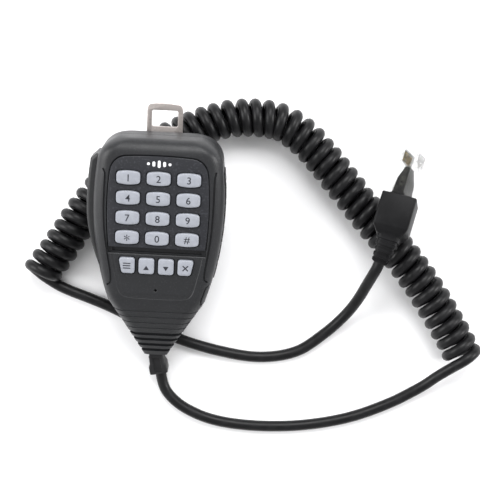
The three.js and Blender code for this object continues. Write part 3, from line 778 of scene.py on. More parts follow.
def grown(outline: Sequence[Point2], by: float) -> list[Point2]:
    """An anticlockwise outline moved outwards.

    Args:
        outline: The outline.
        by: How far; less than nought moves it inwards.

    Returns:
        The new outline.
    """
    count = len(outline)
    moved = []
    for at, (x, y) in enumerate(outline):
        ahead, behind = outline[(at + 1) % count], outline[at - 1]
        along = Vector((ahead[0] - behind[0], ahead[1] - behind[1])).normalized()
        moved.append((x + along.y * by, y - along.x * by))
    return moved


def circle(centre: Point2, radius: float, steps: int) -> list[Point2]:
    """So many points round a circle, anticlockwise."""
    turns = [2 * math.pi * step / steps for step in range(steps)]
    return [(centre[0] + radius * math.cos(turn), centre[1] + radius * math.sin(turn)) for turn in turns]


def rounded(half_x: float, half_y: float, radius: float, steps: int,
            middle: Point2 = (0, 0)) -> list[Point2]:
    """A rectangle with round corners, anticlockwise.

    Args:
        half_x: Half its width.
        half_y: Half its height.
        radius: Its corners.
        steps: Steps in each corner.
        middle: Its middle.

    Returns:
        Its corners.
    """
    points = []
    for quarter, (sx, sy) in enumerate([(1, -1), (1, 1), (-1, 1), (-1, -1)]):
        for step in range(steps + 1):
            turn = math.radians(90 * (quarter - 1) + 90 * step / steps)
            x = middle[0] + sx * (half_x - radius) + radius * math.cos(turn)
            y = middle[1] + sy * (half_y - radius) + radius * math.sin(turn)
            points.append((x, y))
    return points


def flared(name: str, outline: Sequence[Point2], low: float, rim: float, flare: float) -> Workpiece:
    """A cutter whose mouth widens at a flat face, to leave a chamfered edge.

    Args:
        name: The cutter's name.
        outline: Its outline.
        low: Its underside.
        rim: The face that it cuts through.
        flare: The chamfer.

    Returns:
        The cutter.
    """
    past, clear = 0.6, 3  # the slope's share beyond the face, and the cutter's height over it
    wide, over = grown(outline, flare), grown(outline, flare * (1 + past))
    levels = [(outline, low), (outline, rim - flare), (wide, rim),
              (over, rim + flare * past), (over, rim + clear)]
    return Workpiece.skin(name, [[(x, y, z) for x, y in ring] for ring, z in levels])


def crowned(piece: Workpiece, rounding: float, steps: int, up: float = 1.0) -> Workpiece:
    """Rounds the rim of a piece's top face by insets.

    Args:
        piece: The piece.
        rounding: The rounding's radius.
        steps: How many insets.
        up: One for the top face, minus one for the underside.

    Returns:
        The piece.
    """
    with piece.editing():
        piece.pick(lambda _, normal: normal.z * up > 0.99)
        for step in range(steps):
            before, after = (math.radians(90 * at / steps) for at in (step, step + 1))
            inwards = rounding * (math.cos(before) - math.cos(after))
            upwards = rounding * (math.sin(after) - math.sin(before))
            bpy.ops.mesh.inset(thickness=inwards, depth=upwards)
    return piece


# ---- studio


@dataclass
class Studio:
    """Camera, pale floor and soft lights."""

    camera_at: Point3 = (0.03746, 0.00289, 0.55)
    camera_turn: float = 2.9
    focal_length: float = 87.95
    film_width: float = 36
    floor_half: float = 3.0
    floor_drop: float = 0.0002
    floor_colour: Point3 = (0.93, 0.93, 0.94)
    aim: Point3 = (0.04, 0, 0)
    lights: tuple[tuple[str, Point3, float, float], ...] = (
        ("top_light", (0.10, 0.75, 0.95), 0.7, 13.0), ("right_light", (0.95, 0.15, 0.5), 0.4, 7.0),
        ("left_light", (-0.95, 0.05, 0.6), 0.7, 12.0))
    sky: float = 0.66

    def make_camera(self) -> None:
        """A camera straight above the table, with no shift or depth of field."""
        data = bpy.data.cameras.new("camera")
        data.lens = self.focal_length
        data.sensor_width = self.film_width
        data.clip_start = 0.01
        camera = bpy.data.objects.new("camera", data)
        camera.location = self.camera_at
        camera.rotation_euler = (0, 0, math.radians(self.camera_turn))
        bpy.context.scene.collection.objects.link(camera)
        bpy.context.scene.camera = camera

    def make_floor(self) -> None:
        """A wide, plain floor."""
        deselect()
        bpy.ops.mesh.primitive_plane_add(size=2 * self.floor_half, location=(0, 0, -self.floor_drop))
        bpy.ops.object.transform_apply(location=True, rotation=True, scale=True)
        floor = bpy.context.object
        floor.name = "floor"
        sheet = NodeSheet("pale_floor")
        cloud = sheet.noise(180.0, 2.0)
        shade = tinted(self.floor_colour, 0.985)
        colour = cloud.blend(self.floor_colour, shade)
        floor.data.materials.append(sheet.finish(Base_Color=colour, Roughness=0.75, Specular_IOR_Level=0.2))

    def make_light(self, name: str, at: Point3, size: float, power: float) -> None:
        """A square soft light, aimed at the object.

        Args:
            name: The light's name.
            at: Where it hangs.
            size: Its side.
            power: Its power in watts.
        """
        data = bpy.data.lights.new(name, "AREA")
        data.shape = "SQUARE"
        data.size = size
        data.energy = power
        light = bpy.data.objects.new(name, data)
        light.location = at
        light.rotation_euler = (Vector(self.aim) - Vector(at)).to_track_quat("-Z", "Y").to_euler()
        bpy.context.scene.collection.objects.link(light)

    def make(self) -> None:
        """Sets up the whole studio."""
        self.make_camera()
        self.make_floor()
        for name, at, size, power in self.lights:
            self.make_light(name, at, size, power)
        world = bpy.data.worlds.new("studio")
        world.use_nodes = True
        sky = world.node_tree.nodes["Background"]
        sky.inputs["Color"].default_value = (1, 1, 1, 1)
        sky.inputs["Strength"].default_value = self.sky
        bpy.context.scene.world = world
        bpy.context.scene.view_settings.view_transform = "Standard"


# ---- cord


def run_of(line: Sequence[Vector]) -> float:
    """A line's length."""
    return sum((two - one).length for one, two in zip(line, line[1:]))


@dataclass
class Cord:
    """The whole cord: a straight lead, the curly coil and a second lead, on one line."""

    radius: float = 2.5
    coil_radius: float = 9.0
    pitch: float = 5.8
    points_per_turn: int = 26
    start_phase: float = 214.0
    end_phase: float = 84.0
    sways: tuple[Point3, ...] = ((0.10, 0.173, 0.0), (0.07, 0.41, 1.0))
    lengthwise: float = 2.2
    lying: float = 2.7
    floor_gap: float = 0.02
    lead_step: float = 1.6
    steps_between: int = 10
    real_length: float = 2.34
    exit: Point3 = (0.0, 0.0, 0.0)
    pieces: list[bpy.types.Object] = field(default_factory=list)

    def through(self, route: Sequence[Vector], each: int) -> list[Vector]:
        """A smooth line through a route's points, with its knots spread by their distances.

        Args:
            route: The points.
            each: Steps between two points.

        Returns:
            The line's points.
        """
        ends = [route[0] * 2 - route[1], *route, route[-1] * 2 - route[-2]]
        line = []
        for a, b, c, d in zip(ends, ends[1:], ends[2:], ends[3:]):
            knots = [0.0]
            for one, two in ((a, b), (b, c), (c, d)):
                knots.append(knots[-1] + math.sqrt(max((two - one).length, 1e-6)))
            t0, t1, t2, t3 = knots
            for step in range(each):
                t = t1 + (t2 - t1) * step / each
                ab = a.lerp(b, (t - t0) / (t1 - t0))
                bc = b.lerp(c, (t - t1) / (t2 - t1))
                cd = c.lerp(d, (t - t2) / (t3 - t2))
                near = ab.lerp(bc, (t - t0) / (t2 - t0))
                far = bc.lerp(cd, (t - t1) / (t3 - t1))
                line.append(near.lerp(far, (t - t1) / (t2 - t1)))
        line.append(route[-1].copy())
        return line

    def evenly(self, line: Sequence[Vector], spacing: float) -> list[Vector]:
        """The same line with its points a set distance apart.

        Args:
            line: The line.
            spacing: The distance.

        Returns:
            The new points.
        """
        marks = [0.0]
        for one, two in zip(line, line[1:]):
            marks.append(marks[-1] + (two - one).length)
        count = max(2, round(marks[-1] / spacing))
        made, at = [], 0
        for step in range(count + 1):
            want = marks[-1] * step / count
            while at < len(marks) - 2 and marks[at + 1] < want:
                at += 1
            share = (want - marks[at]) / max(marks[at + 1] - marks[at], 1e-9)
            made.append(line[at].lerp(line[at + 1], share))
        return made

    def mic_lead(self) -> list[Vector]:
        """From inside the strain relief, along the table and up to the coil.

        Returns:
            The route's points.
        """
        case = Matrix.Translation(MIC_AT) @ Matrix.Rotation(TILT, 4, "X")
        bend = Matrix.Rotation(math.radians(SLEEVE_LEAN), 4, "Z")
        mouth = bend @ Vector(SLEEVE_MOUTH) + Vector((0, SLEEVE_DROP, 0))
        way = bend @ Vector((0, -1, 0))
        out = [case @ (mouth + way * distance) for distance in (-1.2, 1.2, 5.0)]
        z = self.lying
        rest = [(6.5, -68.8, z), (12.2, -74.4, z), (20.6, -78.8, z), (30.1, -81.6, z), (46.5, -83.2, z),
                (69.8, -82, z), (92.9, -77, z), (111.9, -69.1, z), (120.2, -64.3, 3.5), (126.5, -59.9, 5.5),
                (131.5, -55.5, 8.5)]
        return out + [Vector(point) for point in rest]

    def coil_middle(self) -> list[Vector]:
        """The coil's middle line, from its right end to its left end.

        Returns:
            The line's points.
        """
        z = self.coil_radius + 0.05
        flat = [(143.8, -47), (137.6, -36), (130.6, -25.2), (123.4, -14.6), (115.2, -4.2), (106, 6.2),
                (97.2, 15.9), (88.6, 25.6), (80.4, 35.1), (72.2, 44.2), (63.2, 52.6), (53.2, 58.2),
                (41.6, 59.6), (30.4, 58.6), (19.6, 55.3), (9.6, 50.8), (-0.2, 45.3), (-9.9, 38.9),
                (-18.8, 31.6), (-26.6, 23.6), (-33, 15.2), (-37.9, 7.4), (-42.1, 0.3), (-46.4, -6.6),
                (-51, -13.4), (-53.9, -17.9)]
        return self.evenly(self.through([Vector((x, y, z)) for x, y in flat], 16), 0.5)

    def helix(self) -> list[Vector]:
        """The coil's own strand: a right-hand helix round the middle line.

        Returns:
            The strand's points.
        """
        middle = self.coil_middle()
        start, end = math.radians(self.start_phase), math.radians(self.end_phase)
        turns = round((run_of(middle) / self.pitch * 2 * math.pi + start - end) / (2 * math.pi))
        sweep = end + turns * 2 * math.pi - start
        steps = int(sweep / (2 * math.pi) * self.points_per_turn)
        reach = self.coil_radius - self.radius
        strand = []
        for step in range(steps + 1):
            share = step / steps
            at = share * (len(middle) - 1)
            low = min(int(at), len(middle) - 2)
            centre = middle[low].lerp(middle[low + 1], at - low)
            tangent = (middle[min(low + 6, len(middle) - 1)] - middle[max(low - 6, 0)]).normalized()
            outer = tangent.cross(Vector((0, 0, 1))).normalized()
            phase = start + sweep * share
            sway = sum(size * math.sin(phase * rate + lag) for size, rate, lag in self.sways)
            along = tangent * sway * self.lengthwise * math.sin(math.pi * share)
            strand.append(centre + along + outer * (reach - abs(sway)) * math.cos(phase)
                          + Vector((0, 0, -reach * math.sin(phase))))
        return strand

    def plug_lead(self) -> list[Vector]:
        """From under the coil's left end, under the case and up into the boot's tail.

        Returns:
            The route's points.
        """
        z = self.lying
        rest = [(-46.1, -22.4, z), (-40.2, -24.8, z), (-31.6, -27.6, z), (-22.1, -31, z), (-6.3, -37.7, z),
                (9.9, -44.1, z), (30.8, -49.3, z), (50.2, -51.1, z), (66.7, -47.5, z), (78.8, -38.8, 3.3),
                (84.8, -32.9, 5.2), (89.8, -26.6, 9), (93.1, -20.8, 13.8), (95.6, -15, 18.8)]
        boot = BOOT_PLACE.copy()
        boot.translation = boot.translation / MILLI
        way = Vector((-2.4 / 11, -1, -6 / 11)).normalized()
        into = [boot @ (Vector((-1.2, -11, -3)) + way * distance) for distance in (3.5, 0.3, -1.4)]
        return [Vector(point) for point in rest] + into

    def make(self) -> None:
        """One curve through all three stretches, swept to the cord's thickness."""
        strand = self.helix()
        each, lowest = self.steps_between, self.radius + self.floor_gap
        first = self.through([*self.mic_lead(), strand[0], strand[3]], each)[:-each - 1]
        last = self.through([strand[-4], strand[-1], *self.plug_lead()], each)[each + 1:]
        line = self.evenly(first, self.lead_step) + strand[1:-1] + self.evenly(last, self.lead_step)
        line = [Vector((point.x, point.y, max(point.z, lowest))) for point in line]
        data = bpy.data.curves.new("cord", "CURVE")
        data.dimensions = "3D"
        data.bevel_depth = self.radius * MILLI
        data.bevel_resolution = 4
        data.use_fill_caps = True
        spline = data.splines.new("POLY")
        spline.points.add(len(line) - 1)
        for point, place in zip(spline.points, line):
            point.co = (*(place * MILLI), 1)
        spline.use_smooth = True
        cord = bpy.data.objects.new("cord", data)
        bpy.context.scene.collection.objects.link(cord)
        data.materials.append(CUPBOARD.take(JACKET))
        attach(cord, HOUSING)
        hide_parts("mic_lead", "cord_coil", "plug_lead")
        self.pieces = [cord]
        self.exit = tuple(line[0] * MILLI)
        log.info("cord: %d points, %.1f mm long", len(line), run_of(line))


# ---- case


@dataclass(frozen=True)
class CaseShape:
    """Outer form of the case, in its own frame, with z out of the keypad."""

    side_half: float = 28.6
    side_bow: float = 0.00372
    widest_y: float = 20.0
    top_y: float = 50.0
    top_half: float = 17.0
    corner_run: float = 11.0
    neck_y: float = -52.0
    neck_half: float = 5.2
    funnel_slope: float = 0.574
    front_height: float = 14.0
    back_height: float = 12.0
    neck_front: float = 1.5
    neck_back: float = 6.4
    funnel_start: float = -18.0
    back_slope: float = -8.0
    shoulder: float = 6.0
    back_shoulder: float = 5.0
    wall: float = 2.2
    neck_wall: float = 4.4
    ceiling: float = 10.6
    grooves: tuple[float, ...] = (-27.5, -30.5, -33.5, -36.4)
    groove_half: float = 0.20
    groove_depth: float = 0.22
    ribs: tuple[float, ...] = (-39.8, -42.8, -45.9, -49.0)
    rib_half: float = 0.62
    rib_depth: float = 1.05

    def half_width(self, y: float) -> float:
        """Half the case's width: bowed sides, round top corners and a straight funnel.

        Args:
            y: Where along the case.

        Returns:
            Half the width.
        """
        bowed = self.side_half - self.side_bow * (y - self.widest_y) ** 2
        start = self.top_y - self.corner_run
        if y <= start:
            return min(bowed, self.neck_half + self.funnel_slope * (y - self.neck_y))
        along = min((y - start) / self.corner_run, 1)
        full = self.side_half - self.side_bow * (start - self.widest_y) ** 2
        return self.top_half + (full - self.top_half) * (1 - along**2) ** 0.65

    def height(self, y: float, front: bool) -> float:
        """Height of the front or back face over the parting plane.

        Args:
            y: Where along the case.
            front: The front face, or else the back.

        Returns:
            The height.
        """
        full, edge = (self.front_height, self.shoulder) if front else (self.back_height, self.back_shoulder)
        if y > self.top_y - edge:
            along = min((y - self.top_y + edge) / edge, 1)
            return full - edge + edge * math.sqrt(1 - along**2)
        start, tail, power = (
            (self.funnel_start, self.neck_front, 1.5) if front else (self.back_slope, self.neck_back, 0.9)
        )
        if y < start:
            return full - (full - tail) * ((start - y) / (start - self.neck_y)) ** power
        return full

    def sunk(self, y: float, front: bool) -> float:
        """How deep the funnel's grooves and ribs are.

        Args:
            y: Where along the case.
            front: The front face, or else the back.

        Returns:
            The depth.
        """
        slack = 0.02
        if front and any(abs(y - line) < self.groove_half + slack for line in self.grooves):
            return self.groove_depth
        if any(abs(y - line) < self.rib_half + slack for line in self.ribs):
            return self.rib_depth
        return 0.0

    def surface(self, x: float, y: float) -> float:
        """Height of the front face at a point.

        Args:
            x: Where across the case.
            y: Where along the case.

        Returns:
            The height over the parting plane.
        """
        half, high = self.half_width(y), self.height(y, True)
        reach, rise = min(self.shoulder, half * 0.45), min(self.shoulder, high * 0.6)
        over = max(0.0, abs(x) - (half - reach)) / reach
        return high - rise + rise * math.sqrt(max(0.0, 1 - over * over))

    def section(self, y: float, front: bool, inset: float, base: float, limit: float) -> list[Point3]:
        """Half a cross section: straight sides, round shoulders and a flat top.

        Args:
            y: Where along the case.
            front: The front half, or else the back half, turned over.
            inset: How far inside the outer form.
            base: Its foot over the parting plane.
            limit: The most that it may be high.

        Returns:
            The ring's points.
        """
        half = self.half_width(y) - inset
        high = min(self.height(y, front) - inset, limit)
        edge = (self.shoulder if front else self.back_shoulder) - min(inset, self.wall) * 0.5
        reach, rise = min(edge, half * 0.45), min(edge, high * 0.6)
        side = [(half, base)]
        for step in range(11):
            turn = math.radians(9 * step)
            side.append((half - reach + reach * math.cos(turn), high - rise + rise * math.sin(turn)))
        flip = 1 if front else -1
        right = [(x, y, z * flip) for x, z in side]
        return right + [(-x, y, z * flip) for x, z in reversed(side)]

    def stations(self, front: bool) -> list[float]:
        """Places along y: close where the top rounds over and at each groove.

        Args:
            front: The front half, or else the back half.

        Returns:
            The places, from the top down.
        """
        edge = self.shoulder if front else self.back_shoulder
        start = self.top_y - edge
        places = [start + edge * math.cos(math.radians(90 * step / 12)) for step in range(12)]
        steps, room, edge_run = 60, 0.35, 0.14
        places += [start + (self.neck_y - start) * step / steps for step in range(steps + 1)]
        for lines, half in ((self.grooves if front else (), self.groove_half), (self.ribs, self.rib_half)):
            for line in lines:
                places = [place for place in places if abs(place - line) > half + room]
                places += [line + half + edge_run, line + half, line - half, line - half - edge_run]
        return sorted(places, reverse=True)

    def shell(self, name: str, front: bool) -> Workpiece:
        """One hollow half of the case.

        Args:
            name: The piece's name.
            front: The front half, or else the back.

        Returns:
            The piece.
        """
        no_limit = 99
        outer = Workpiece.skin(name, [self.section(y, front, self.sunk(y, front), GAP / 2, no_limit)
                                      for y in self.stations(front)])
        low, high = self.neck_y + self.neck_wall, self.top_y - self.wall
        limit = self.ceiling if front else no_limit
        places = [high + (low - high) * step / 30 for step in range(31)]
        inner = Workpiece.skin("hollow", [self.section(y, front, self.wall, -1, limit) for y in places])
        return outer.meet(Meeting.CUT, inner)

    def strip(self, sign: int, low: float, high: float, inner: float, outer: float,
              steps: int) -> list[Point2]:
        """The outline of a strip along one side of the case.

        Args:
            sign: One for the right side, minus one for the left.
            low: Its lower end.
            high: Its upper end.
            inner: How far it reaches inside the side line.
            outer: How far it stands out of it.
            steps: Its steps along y.

        Returns:
            The outline, anticlockwise.
        """
        places = [low + (high - low) * step / steps for step in range(steps + 1)]
        out = [(sign * (self.half_width(y) + outer), y) for y in places]
        back = [(sign * (self.half_width(y) - inner), y) for y in reversed(places)]
        loop = out + back
        return loop if sign > 0 else loop[::-1]


SHAPE = CaseShape()
BAR_OPENING = ((-34.0, -9.4, -6.3), (-20.8, 42.3, 7.3))
GRIP_SPAN = (-12.0, 36.0)
CASE_SCREWS = ((-15.0, 43.6), (15.0, 43.6), (-13.0, -21.4), (13.0, -21.4))
HANGER_SCREWS = ((-4.4, 34), (4.4, 34))
PIVOT = (-23.4, -5.5)
SCREW_HOLE = 1.5
HANGER_HOLE = 1.55
PIN_HOLE = 1.3
BOSS = 2.3


def seats() -> list[Workpiece]:
    """Cutters for the side grip's seat and for the strain relief's place in the neck.

    Returns:
        The two cutters.
    """
    depth, reach, low, high = 1.2, 3, -5.8, 6.8
    strip = SHAPE.strip(1, GRIP_SPAN[0] - GAP, GRIP_SPAN[1] + GAP, depth, reach, 24)
    neck = Workpiece.block("neck", (-3.3, -53, -5.2), (3.3, -46, 0.9))
    return [Workpiece.slab("grip", strip, low, high), neck]


def channel(name: str, path: Sequence[Point2], half: float, depth: float) -> Workpiece:
    """A cutter that follows the front face along a path.

    Args:
        name: The cutter's name.
        path: Its line in x and y.
        half: Half its width.
        depth: How deep it cuts.

    Returns:
        The cutter.
    """
    foot, mouth, over = 0.6, 1.6, 0.25  # shares of the half width, and the mouth's height
    rings = []
    for at, (x, y) in enumerate(path):
        ahead, behind = path[min(at + 1, len(path) - 1)], path[max(at - 1, 0)]
        along = Vector((ahead[0] - behind[0], ahead[1] - behind[1])).normalized()
        floor = SHAPE.surface(x, y) - depth
        across = (along.y * half, -along.x * half)
        corners = (foot, 0), (mouth, depth + over), (-mouth, depth + over), (-foot, 0)
        rings.append([(x + across[0] * share, y + across[1] * share, floor + rise)
                      for share, rise in corners])
    return Workpiece.skin(name, rings)


def smooth_path(points: Sequence[Point2]) -> list[Point2]:
    """A smooth line through a few points."""
    return [(point.x, point.y) for point in Cord().through([Vector((x, y, 0)) for x, y in points], 6)]


@dataclass
class KeyLayout:
    """Places and outlines of the sixteen keys."""

    width: float = 10.2
    height: float = 6.1
    corner: float = 1.6
    bulge: float = 0.32
    shoulder: float = 0.2
    pitch_x: float = 13.05
    pitch_y: float = 8.87
    top_row: float = 33.6
    menu_width: float = 6.8
    menu_height: float = 7.1
    menu_corner: float = 1.4
    menu_pitch: float = 8.55
    menu_row: float = -5.7
    slant: float = 1.1

    def barrel(self, grow: float = 0.0) -> list[Point2]:
        """A number key's outline about its own middle: a bar whose long edges bulge.

        Args:
            grow: How far it is widened.

        Returns:
            Its corners.
        """
        half, rise, corner = self.width / 2 + grow, self.height / 2 + grow, self.corner
        low = rise - self.bulge
        side = through_stretches(
            (-half + corner, -low),
            ((0, -rise - self.bulge), (half - corner, -low), 8),
            ((half, -low + self.shoulder), (half, -low + corner), 5),
            ((half, 0), (half, low - corner), 1),
            ((half, low - self.shoulder), (half - corner, low), 5))[:-1]
        return side + [(-x, -y) for x, y in side]

    def square(self, grow: float = 0.0, left: float = 0.0, right: float = 0.0) -> list[Point2]:
        """A function key's outline about its own middle.

        Args:
            grow: How far it is widened.
            left: How far its foot is drawn in at the left.
            right: How far its foot is drawn in at the right.

        Returns:
            Its corners.
        """
        half, rise, corner = self.menu_width / 2 + grow, self.menu_height / 2 + grow, self.menu_corner
        lf, rf = -half + left, half - right
        return through_stretches(
            (lf + corner, -rise),
            ((0, -rise), (rf - corner, -rise), 1), ((rf, -rise), (rf + right * 0.2, -rise + corner), 5),
            ((half, 0), (half, rise - corner), 1), ((half, rise), (half - corner, rise), 5),
            ((0, rise), (-half + corner, rise), 1), ((-half, rise), (-half, rise - corner), 5),
            ((-half, 0), (lf - left * 0.2, -rise + corner), 1), ((lf, -rise), (lf + corner, -rise), 5))[:-1]

    def numbers(self) -> list[tuple[str, str, float, float]]:
        """The number keys.

        Returns:
            Each one's node, legend and middle.
        """
        names = ["1", "2", "3", "4", "5", "6", "7", "8", "9", "star", "0", "hash"]
        keys = []
        for at, name in enumerate(names):
            x, y = (at % 3 - 1) * self.pitch_x, self.top_row - at // 3 * self.pitch_y
            keys.append((f"key_{name}", {"star": "*", "hash": "#"}.get(name, name), x, y))
        return keys

    def menus(self) -> list[tuple[str, float, float, float, float]]:
        """The function keys.

        Returns:
            Each one's node, middle and the draw of its left and right foot.
        """
        names = ["key_menu", "key_up", "key_down", "key_exit"]
        return [(name, (at - 1.5) * self.menu_pitch, self.menu_row, self.slant if at == 0 else 0.0,
                 self.slant if at == 3 else 0.0) for at, name in enumerate(names)]

    def windows(self, low: float, rim: float, flare: float, menus: bool) -> list[Workpiece]:
        """Cutters for the number keys' windows, or for the function keys', with a gap round each.

        Args:
            low: The cutters' underside.
            rim: The face that they cut through.
            flare: The chamfer of their mouths.
            menus: The function keys, or else the number keys.

        Returns:
            The cutters.
        """
        if menus:
            spots = [(x, y, self.square(GAP, left, right)) for _, x, y, left, right in self.menus()]
        else:
            spots = [(x, y, self.barrel(GAP)) for _, _, x, y in self.numbers()]
        return [flared("window", [(x + a, y + b) for a, b in outline], low, rim, flare)
                for x, y, outline in spots]


KEYS = KeyLayout()


@dataclass
class FrontCase:
    """The front shell, with its pocket, windows, side rails and funnel."""

    pocket_floor: float = 12.1
    pocket_low: float = -0.5
    pocket_chamfer: float = 0.35
    panel_half: float = 21.1
    panel_top: float = 43.2
    panel_low: float = 2.3
    panel_bow: float = 1.9
    window_rim: float = 15.0
    window_chamfer: float = 0.1
    menu_chamfer: float = 0.25
    shade_gap: tuple[Point3, Point3] = ((-19.6, 0.0, 11.15), (19.6, 1.95, 12.6))
    sound_hole: tuple[Point2, float, float] = ((0, -16.9), 0.6, 0.18)
    post: float = 2.8
    post_root: float = 0.4
    boss_foot: float = 7.6
    screw_reach: float = 6.3
    pin_span: Point2 = (6, 9.4)
    rail_half: float = 0.30
    rail_depth: float = 0.8
    left_rail: tuple[Point2, ...] = (
        (-24.2, 37.0), (-23.3, 35.2), (-23.3, 30), (-23.5, 19.7), (-23.0, 9.3), (-21.8, 0.7),
        (-19.9, -11.6), (-20.3, -14.4), (-21.7, -15.6))
    right_rail: tuple[Point2, ...] = (
        (24.6, 37.4), (24.1, 34.6), (24.0, 28), (23.9, 19.2), (23.4, 8.8), (22.4, 0.1),
        (21.2, -8.7), (21.4, -11.2), (22.6, -12.4))
    pad_half: float = 0.75
    pad_depth: float = 0.16
    pad_side: tuple[Point2, ...] = (
        (19.4, -1.2), (18.6, -6), (17.2, -12), (15.9, -17.2), (14.2, -19.6), (11, -20.3))
    pad_foot: Point2 = (0, -20.6)
    thumb_half: float = 0.35
    thumb_depth: float = 0.7
    thumb_line: tuple[Point2, ...] = (
        (23.4, -13.8), (22.1, -15.2), (21.0, -18.4), (20.0, -22.0), (20.3, -23.9))
    notches: tuple[float, ...] = (-14.7, -19.4)
    notch_half: float = 0.35
    notch_depth: float = 0.9
    step_span: Point2 = (-35.6, -31.9)
    step_height: float = 3

    def outline(self, grow: float, low: float) -> list[Point2]:
        """The keypad panel's outline, anticlockwise.

        Args:
            grow: How far it is widened.
            low: Its lower edge.

        Returns:
            Its corners.
        """
        half, top, high = self.panel_half + grow, self.panel_top + grow, self.panel_top - 7
        bow = self.panel_bow
        return through_stretches(
            (-half, low), ((0, low), (half, low), 1), ((half + bow, 20), (half, high), 12),
            ((half - 1.2, top - 1.2), (half - 6.6, top - 0.4), 8),
            ((0, top + 0.7), (-half + 6.6, top - 0.4), 10),
            ((-half + 1.2, top - 1.2), (-half, high), 8), ((-half - bow, 20), (-half, low), 12))[:-1]

    def posts(self) -> list[Workpiece]:
        """Screw posts and the talk bar pin's boss, down from the ceiling.

        Returns:
            The posts and the boss.
        """
        root = SHAPE.ceiling + self.post_root
        posts = [Workpiece.rod("post", self.post, at, GAP / 2, root, 24) for at in CASE_SCREWS]
        return posts + [Workpiece.rod("boss", BOSS, PIVOT, self.boss_foot, root, 24)]

    def openings(self, face: float, below: float) -> list[list[Workpiece]]:
        """Cutters for the pocket, the windows, the gap under the panel and the holes.

        Args:
            face: The front face's height.
            below: A height under the ceiling.

        Returns:
            The cutters, in sets that are cut one after another.
        """
        spot, radius, chamfer = self.sound_hole
        pocket = flared("pocket", self.outline(GAP, self.pocket_low), self.pocket_floor, face,
                        self.pocket_chamfer)
        windows = [*KEYS.windows(below, self.window_rim, self.window_chamfer, False),
                   *KEYS.windows(below, face, self.menu_chamfer, True)]
        sound = flared("sound_hole", circle(spot, radius, 24), below, face, chamfer)
        holes = [Workpiece.rod("hole", SCREW_HOLE, at, -1, self.screw_reach, 20) for at in CASE_SCREWS]
        holes.append(Workpiece.rod("hole", PIN_HOLE, PIVOT, *self.pin_span, 20))
        return [[pocket], windows, [Workpiece.block("shade_gap", *self.shade_gap)], [sound], holes]

    def lines(self) -> list[list[Workpiece]]:
        """Cutters for the side rails and the keypad's border.

        Returns:
            The cutters, in sets that are cut one after another.
        """
        rails = [channel("rail", smooth_path(rail), self.rail_half, self.rail_depth)
                 for rail in (self.left_rail, self.right_rail)]
        pad = [(-x, y) for x, y in self.pad_side] + [self.pad_foot, *reversed(self.pad_side)]
        return [rails, [channel("pad_edge", smooth_path(pad), self.pad_half, self.pad_depth)]]

    def make(self) -> None:
        """The hollow shell, then every pocket, window, hole and engraved line."""
        shell = SHAPE.shell("front_shell", True)
        shell.meet(Meeting.CUT, Workpiece.block("opening", *BAR_OPENING))
        shell.meet(Meeting.ADD, *self.posts())
        for cutters in (*self.openings(SHAPE.front_height, SHAPE.ceiling - 1), *self.lines(), seats()):
            shell.meet(Meeting.CUT, *cutters)
        shell.meet(Meeting.CUT, channel("thumb", smooth_path(self.thumb_line), self.thumb_half,
                                        self.thumb_depth))
        marks, half = [], self.notch_half
        for y in self.notches:
            edge = -SHAPE.half_width(y) + self.notch_depth
            marks.append(Workpiece.block("notch", (-30, y - half, -1), (edge, y + half, 7)))
        low, high = self.step_span
        marks.append(Workpiece.block("step", (SHAPE.half_width(-34) - 0.1, low, -1),
                                     (30, high, self.step_height)))
        shell.meet(Meeting.CUT, *marks)
        shell.deliver(MIC_PLACE, CASE_PLASTIC, HOUSING, "case_plastic", "front_case", angle=28)


